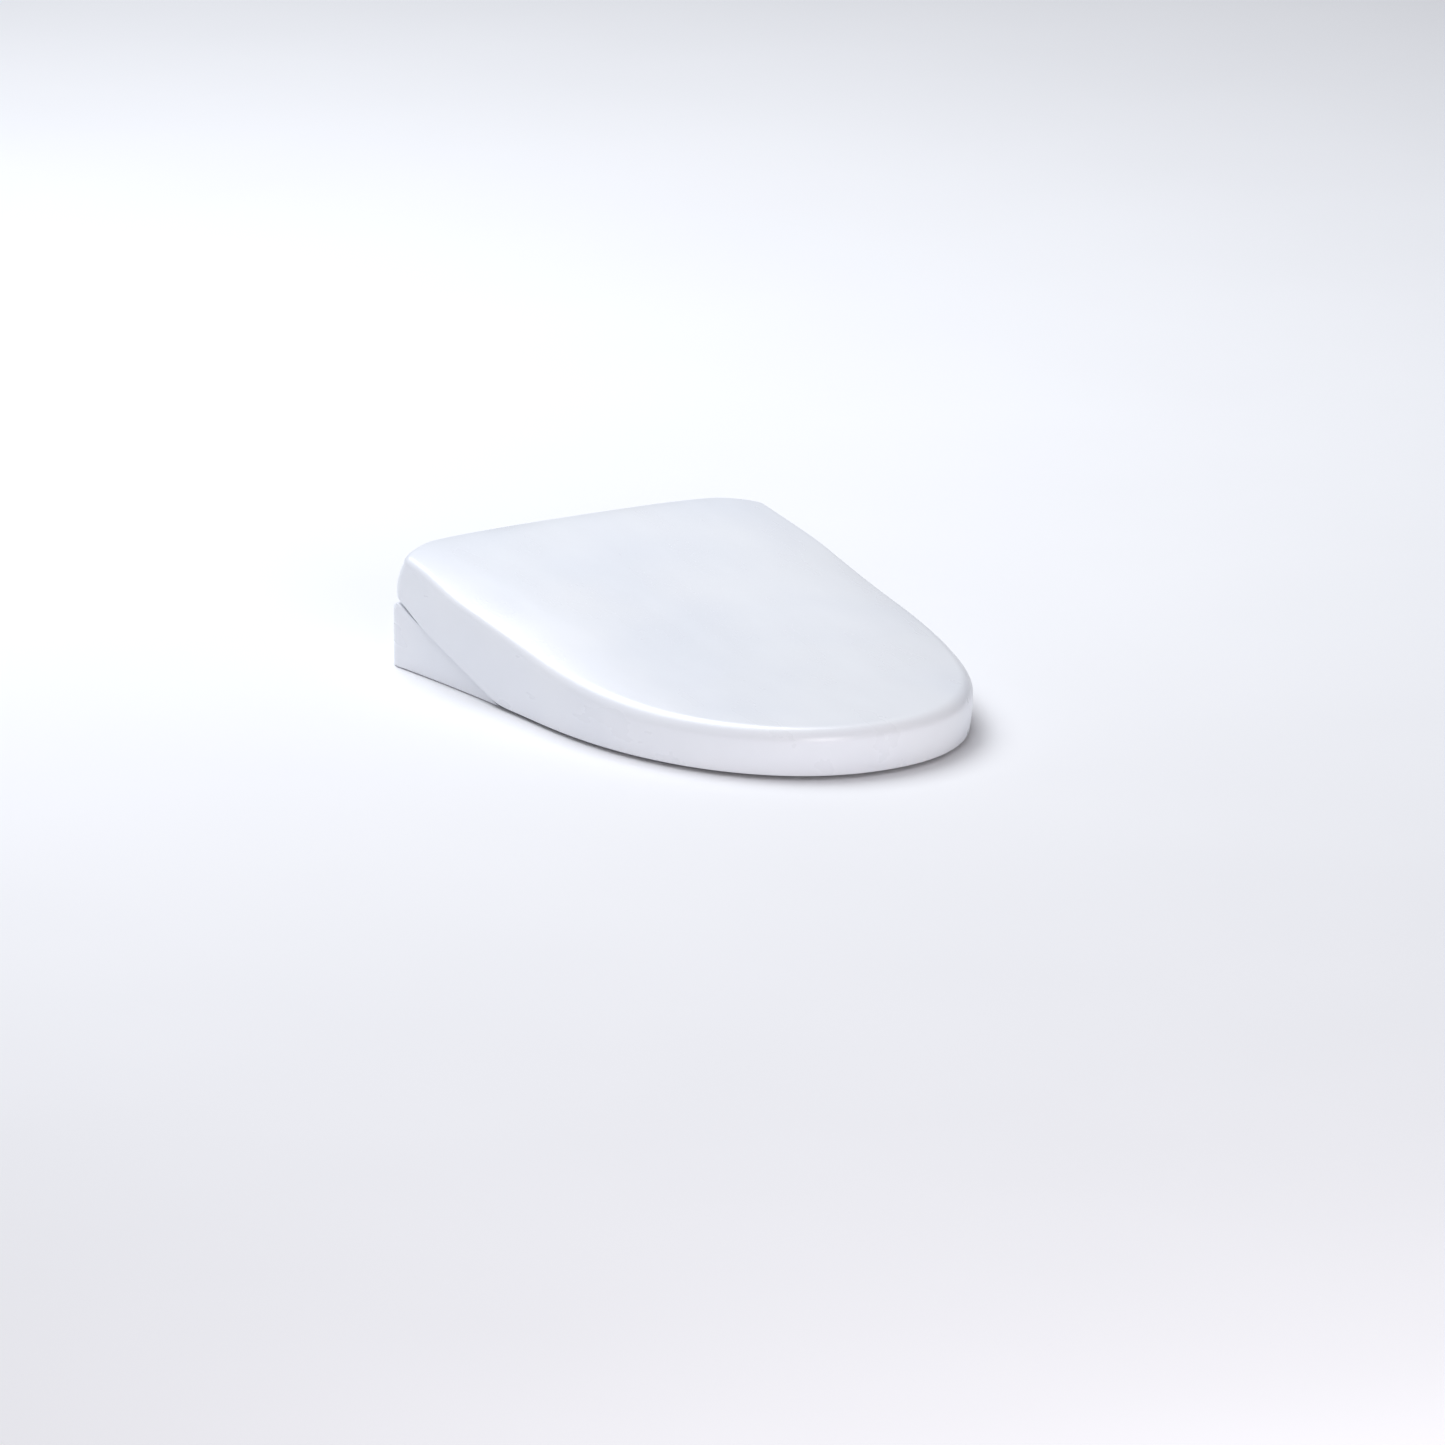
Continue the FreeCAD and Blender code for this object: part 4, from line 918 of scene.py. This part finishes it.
# ---- seat
@dataclass
class SeatRing:
    """Top shell of the seat ring.

    Seen from above its outside is the plan outline drawn in, cut straight at
    the rear; its opening is an ellipse. Across the ring the surface climbs the
    outer wall, turns through a quarter round, slopes gently to the opening and
    turns down into it.
    """

    dresser: Dresser
    inset: float = 9 * MM
    rear: float = -96 * MM
    base: float = 17 * MM
    hole_half: float = 107 * MM
    hole_long: float = 125 * MM
    hole_centre: float = -275 * MM
    outer_round: float = 9 * MM
    inner_round: float = 13 * MM
    dish: float = 4 * MM
    wall: float = 3 * MM
    port_half: float = 27 * MM
    port_top: float = 31.5 * MM
    steps: int = 480

    def top(self, y: np.ndarray) -> np.ndarray:
        """Height along the ring: flat in front, rising behind by a square law."""
        rise = np.clip((y + 260 * MM) / (260 * MM + self.rear), 0, None)
        return 36 * MM + 8 * MM * rise**2

    def outside(self) -> np.ndarray:
        """Outer edge of the ring.

        Returns:
            (n, 2) loop, counter-clockwise from the front tip.
        """
        ring = OUTLINE.loop(200, 240)
        ring = ring + inward(ring) * self.inset
        right = ring[: len(ring) // 2]
        turn = 14 * MM
        right = right[right[:, 1] < self.rear - turn]
        right[0, 0] = 0
        wide = right[-1, 0]
        angle = np.linspace(0, math.pi / 2, 30)[1:]
        bend = np.stack([wide - turn + turn * np.cos(angle), self.rear - turn + turn * np.sin(angle)], axis=1)
        line = np.stack([np.linspace(wide - turn, 0, 60)[1:], np.full(59, self.rear)], axis=1)
        half = np.vstack([right, bend, line])
        half = np.vstack([spread(half, self.steps // 2), half[-1:]])
        return np.vstack([half, half[-2:0:-1] * np.array([-1, 1])])

    def rows(self) -> np.ndarray:
        """Surface across the ring.

        Returns:
            (rows, n, 3) grid from the outer lower edge to the inner one.
        """
        outer = self.outside()
        turn = np.arctan2((outer[:, 1] - self.hole_centre) / self.hole_long, outer[:, 0] / self.hole_half)
        inner_y = self.hole_centre + self.hole_long * np.sin(turn)
        inner = np.stack([self.hole_half * np.cos(turn), inner_y], axis=1)
        to_ring, to_hole = -inward(inner), inward(outer)
        lows = []
        for edge, behind in ((outer, self.rear - 1 * MM), (inner, self.hole_centre)):
            port = smooth(-np.abs(edge[:, 0]), -self.port_half - 2 * MM, -self.port_half)
            lows.append(self.base + (self.port_top - self.base) * port * (edge[:, 1] > behind))
        low_out, low_in = lows
        share = np.linspace(0, 1, 8)[:, None]
        angle = np.linspace(0, math.pi / 2, 10)[1:, None]
        shoulder = self.top(outer[:, 1]) - self.outer_round
        wall_plan = np.broadcast_to(outer, (8, *outer.shape))
        wall_rows = np.dstack([wall_plan, low_out + (shoulder - low_out) * share])
        plan = outer[None] + to_hole[None] * (self.outer_round * (1 - np.cos(angle)))[..., None]
        turn_rows = np.dstack([plan, self.top(plan[..., 1]) - self.outer_round * (1 - np.sin(angle))])
        start, end = plan[-1], inner + to_ring * self.inner_round
        share = np.linspace(0, 1, 26)[1:-1, None]
        plan = start[None] * (1 - share[..., None]) + end[None] * share[..., None]
        crown_rows = np.dstack([plan, self.top(plan[..., 1]) - self.dish * share**2])
        angle = angle[::-1]
        plan = inner[None] + to_ring[None] * (self.inner_round * (1 - np.cos(angle)))[..., None]
        height = self.top(plan[..., 1]) - self.dish - self.inner_round * (1 - np.sin(angle))
        lip_rows = np.dstack([plan, height])
        share = np.linspace(0, 1, 6)[:, None]
        lip = self.top(inner[:, 1]) - self.dish - self.inner_round
        low_in = np.minimum(low_in, lip - 0.5 * MM)
        bore_rows = np.dstack([np.broadcast_to(inner, (6, *inner.shape)), lip + (low_in - lip) * share])
        return np.concatenate([wall_rows, turn_rows, crown_rows, lip_rows, bore_rows])

    def build(self) -> None:
        """Make the ring's top shell and put it on the seat."""
        ring = surface("seat_ring_shell", around(self.rows()))
        wall(ring, self.wall, 0.5 * MM)
        self.dresser.dress(ring, Finish.RING)
        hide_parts("seat_top")
        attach(ring, "seat")
        log.info("seat ring, %d points", len(ring.data.vertices))


# ---- casing
@dataclass
class MouldedParts:
    """Casing, arms, keys and pads with their moulded edge radii."""

    dresser: Dresser
    from_x: float = -160 * MM
    from_y: float = 20 * MM
    beside: float = -140 * MM
    radii_mm: dict[str, float] = field(default_factory=lambda: {
        "deck_cover": 1.2, "side_panel_left": 0.8, "side_panel_right": 0.8, "lower_case": 0.8,
        "rear_cover": 0.5, "seat_base": 1.0, "seat_arm_left": 1.4, "seat_arm_right": 1.4,
        "stop_button": 0.5, "rear_wash_button": 0.5, "power_button": 0.5, "release_button": 0.5,
        "control_bezel": 0.3, "base_plate": 0.5, "seat_feet": 0.8, "power_gland": 0.4,
    })

    def build(self) -> None:
        """Make each rounded part and put it on the body of the part it stands for."""
        finish_of = {name: finish for finish, names in FINISH_OF.items() for name in names}
        for name, radius in self.radii_mm.items():
            piece = softened_copy(name, radius * MM)
            if name in ("lower_case", "side_panel_left"):
                self.draw_in(piece)
            self.dresser.dress(piece, finish_of[name])
            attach(piece, frame["nodes"][name]["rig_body"])
            log.info("%s, edge radius %.1f mm", name, radius)

    def draw_in(self, piece: bpy.types.Object) -> None:
        """Bring the -X side in behind its apron.

        Beyond from_x widths shrink by 16 %; beyond from_y lengths shrink by 14 %.

        Args:
            piece: rounded copy of a casing part.
        """
        for vertex in piece.data.vertices:
            if vertex.co.x < self.from_x:
                vertex.co.x = self.from_x + (vertex.co.x - self.from_x) * 0.84
            if vertex.co.x < self.beside and vertex.co.y > self.from_y:
                vertex.co.y = self.from_y + (vertex.co.y - self.from_y) * 0.86


@dataclass
class SideAprons:
    """Smooth outer skins of the casing's sides, and the floors of the arm channels.

    An apron stands on the lower case and ends just under the lid's lower edge,
    so that it narrows to a point in front: top = min(lid edge - gap, cap(y)).
    """

    dresser: Dresser
    inset: float = 4.2 * MM
    thick: float = 3.5 * MM
    foot: float = 0.8 * MM
    gap: float = 3.0 * MM
    tip: float = -128 * MM
    rear_half: float = 157 * MM
    rear_cap: float = 51 * MM
    keys_start: float = -46 * MM
    deck_half: float = 154 * MM
    channel: tuple[float, float] = (-88 * MM, -47 * MM)
    climb: float = 0.365
    climb_start: float = -129 * MM
    deck_split: float = 31 * MM
    rows: int = 24

    def skin(self, lid: Lid, sign: int) -> np.ndarray:
        """Grid of one apron, rows going up.

        Args:
            lid: the lid whose lower edge it follows.
            sign: 1 for the +X side, -1 for the -X side.

        Returns:
            (rows, columns, 3) grid; on +X it stops short of the keys.
        """
        loop = OUTLINE.loop(lid.across, lid.along)
        plan = loop + inward(loop) * self.inset
        here = (loop[:, 0] * sign > self.rear_half) & (loop[:, 1] > self.tip)
        if sign > 0:
            here &= loop[:, 1] < self.keys_start
        edge, plan = lid.low(loop)[here], plan[here]
        cap = self.rear_cap + 25 * MM * (1 - smooth(plan[:, 1], 20 * MM, 28 * MM))
        taper = 1.2 * MM * smooth(-plan[:, 1], 110 * MM, 128 * MM)
        high = np.maximum(np.minimum(edge - self.gap - taper, cap), self.foot + 0.1 * MM)
        share = np.linspace(0, 1, self.rows)[:, None]
        flat = np.broadcast_to(plan, (self.rows, *plan.shape))
        return np.dstack([flat, self.foot + (high - self.foot) * share])

    def floor_grid(self, sign: int) -> np.ndarray:
        """Grid of one channel floor, which climbs with the lid's edge.

        Args:
            sign: 1 for the +X side, -1 for the -X side.

        Returns:
            (12, 8, 3) grid.
        """
        y = np.linspace(*self.channel, 12)[:, None]
        share = np.linspace(0, 1, 8)[None]
        outer = OUTLINE.half_width(y) - 6.5 * MM
        x = self.deck_half + (outer - self.deck_half) * share
        z = self.climb * (y - self.climb_start)
        grid = np.dstack([x, np.broadcast_to(y, x.shape), np.broadcast_to(z, x.shape)])
        return grid if sign > 0 else grid[:, ::-1] * np.array([-1, 1, 1])

    def cheek_grid(self, sign: int) -> np.ndarray:
        """Grid that closes the channel's inner side up to the deck cover.

        Args:
            sign: 1 for the +X side, -1 for the -X side.

        Returns:
            (5, 12, 3) grid.
        """
        y = np.linspace(self.channel[0] - 1 * MM, self.channel[1], 12)[None]
        share = np.linspace(0, 1, 5)[:, None]
        low = self.climb * (y - self.climb_start) - 1 * MM
        z = low + (self.deck_split - low) * share
        x = np.full(z.shape, self.deck_half * sign)
        grid = np.dstack([x, np.broadcast_to(y, z.shape), z])
        return grid if sign < 0 else grid[:, ::-1]

    def build(self) -> None:
        """Make both sides and put them on the casing."""
        lid = Lid(self.dresser)
        for side, sign in (("left", -1), ("right", 1)):
            apron = surface(f"side_apron_{side}", self.skin(lid, sign))
            wall(apron, self.thick, 0.3 * MM)
            channel = surface(f"arm_channel_{side}", self.floor_grid(sign), self.cheek_grid(sign))
            wall(channel, 1.5 * MM, 0.2 * MM)
            for piece in (apron, channel):
                self.dresser.dress(piece, Finish.SHELL)
                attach(piece, "unit")
            log.info("%s apron, %d points", side, len(apron.data.vertices))


# ---- studio
@dataclass
class Studio:
    """Camera, soft lights and a pale floor."""

    azimuth: float = 31.0
    elevation: float = 15.46
    distance: float = 10.979
    lens: float = 323.9
    shift: tuple[float, float] = (-0.003114, -0.062145)
    target: Vector = field(default_factory=lambda: Vector((0, -0.209, 0.0591)))

    def camera(self) -> None:
        """Camera to the front left, looking slightly down."""
        turn, lift = math.radians(self.azimuth), math.radians(self.elevation)
        back = Vector((-math.sin(turn) * math.cos(lift), -math.cos(turn) * math.cos(lift), math.sin(lift)))
        data = bpy.data.cameras.new("camera")
        data.lens = self.lens
        data.sensor_width = 36
        data.shift_x, data.shift_y = self.shift
        data.clip_end = 60
        item = placed("camera", data)
        item.location = self.target + back * self.distance
        item.rotation_euler = back.to_track_quat("Z", "Y").to_euler()
        bpy.context.scene.camera = item

    def lamp(self, name: str, at: tuple, size: float, power: float, tint: str) -> None:
        """Square soft light aimed at the middle of the seat.

        Args:
            name: name of the light.
            at: its position.
            size: its side.
            power: its power in watts.
            tint: its colour as sRGB hex.
        """
        data = bpy.data.lights.new(name, "AREA")
        data.size = size
        data.energy = power
        data.color = linear(tint)[:3]
        item = placed(name, data)
        item.location = at
        item.rotation_euler = (Vector(at) - self.target).to_track_quat("Z", "Y").to_euler()

    def floor(self) -> None:
        """Wide pale floor just under the seat."""
        level = float(CAD_BOX[0][2]) - 0.5 * MM
        corners = np.array([[-6, -6, level], [6, -6, level], [6, 6, level], [-6, 6, level]])
        mesh = bpy.data.meshes.new("floor")
        mesh.from_pydata(corners.tolist(), [], [(0, 1, 2, 3)])
        item = placed("floor", mesh)
        paint, tree, shader, place = begin("matt_paper_backdrop")
        cloud = add(tree, "TexNoise", {"Vector": place}, Scale=3.0, Detail=2.0)
        tint = add(tree, "ValToRGB", {"Fac": cloud.outputs["Fac"]})
        tint.color_ramp.elements[0].color = linear("f6f6f8")
        tint.color_ramp.elements[1].color = linear("fafafc")
        tree.links.new(tint.outputs["Color"], shader.inputs["Base Color"])
        shader.inputs["Roughness"].default_value = 0.9
        mesh.materials.append(paint)

    def build(self) -> None:
        """Set up everything around the seat."""
        self.camera()
        self.lamp("overhead", (-0.3, 1.4, 3.0), 2.6, 109, "f6faff")
        self.lamp("front_left", (-0.9, -3.5, 0.85), 1.4, 38, "fff8fa")
        world = bpy.data.worlds.new("studio_air")
        world.use_nodes = True
        world.node_tree.nodes["Background"].inputs["Color"].default_value = linear("f3f3f8")
        world.node_tree.nodes["Background"].inputs["Strength"].default_value = 0.3
        bpy.context.scene.world = world
        bpy.context.scene.view_settings.view_transform = "Standard"
        self.floor()


def main() -> None:
    """Build the seat piece by piece and set up the view."""
    logging.basicConfig(level=logging.INFO, format="%(name)s: %(message)s")
    dresser = Dresser()
    dresser.dress_working_parts()
    Lid(dresser).build()
    SeatRing(dresser).build()
    MouldedParts(dresser).build()
    SideAprons(dresser).build()
    Studio().build()


if __name__ == "__main__":
    main()
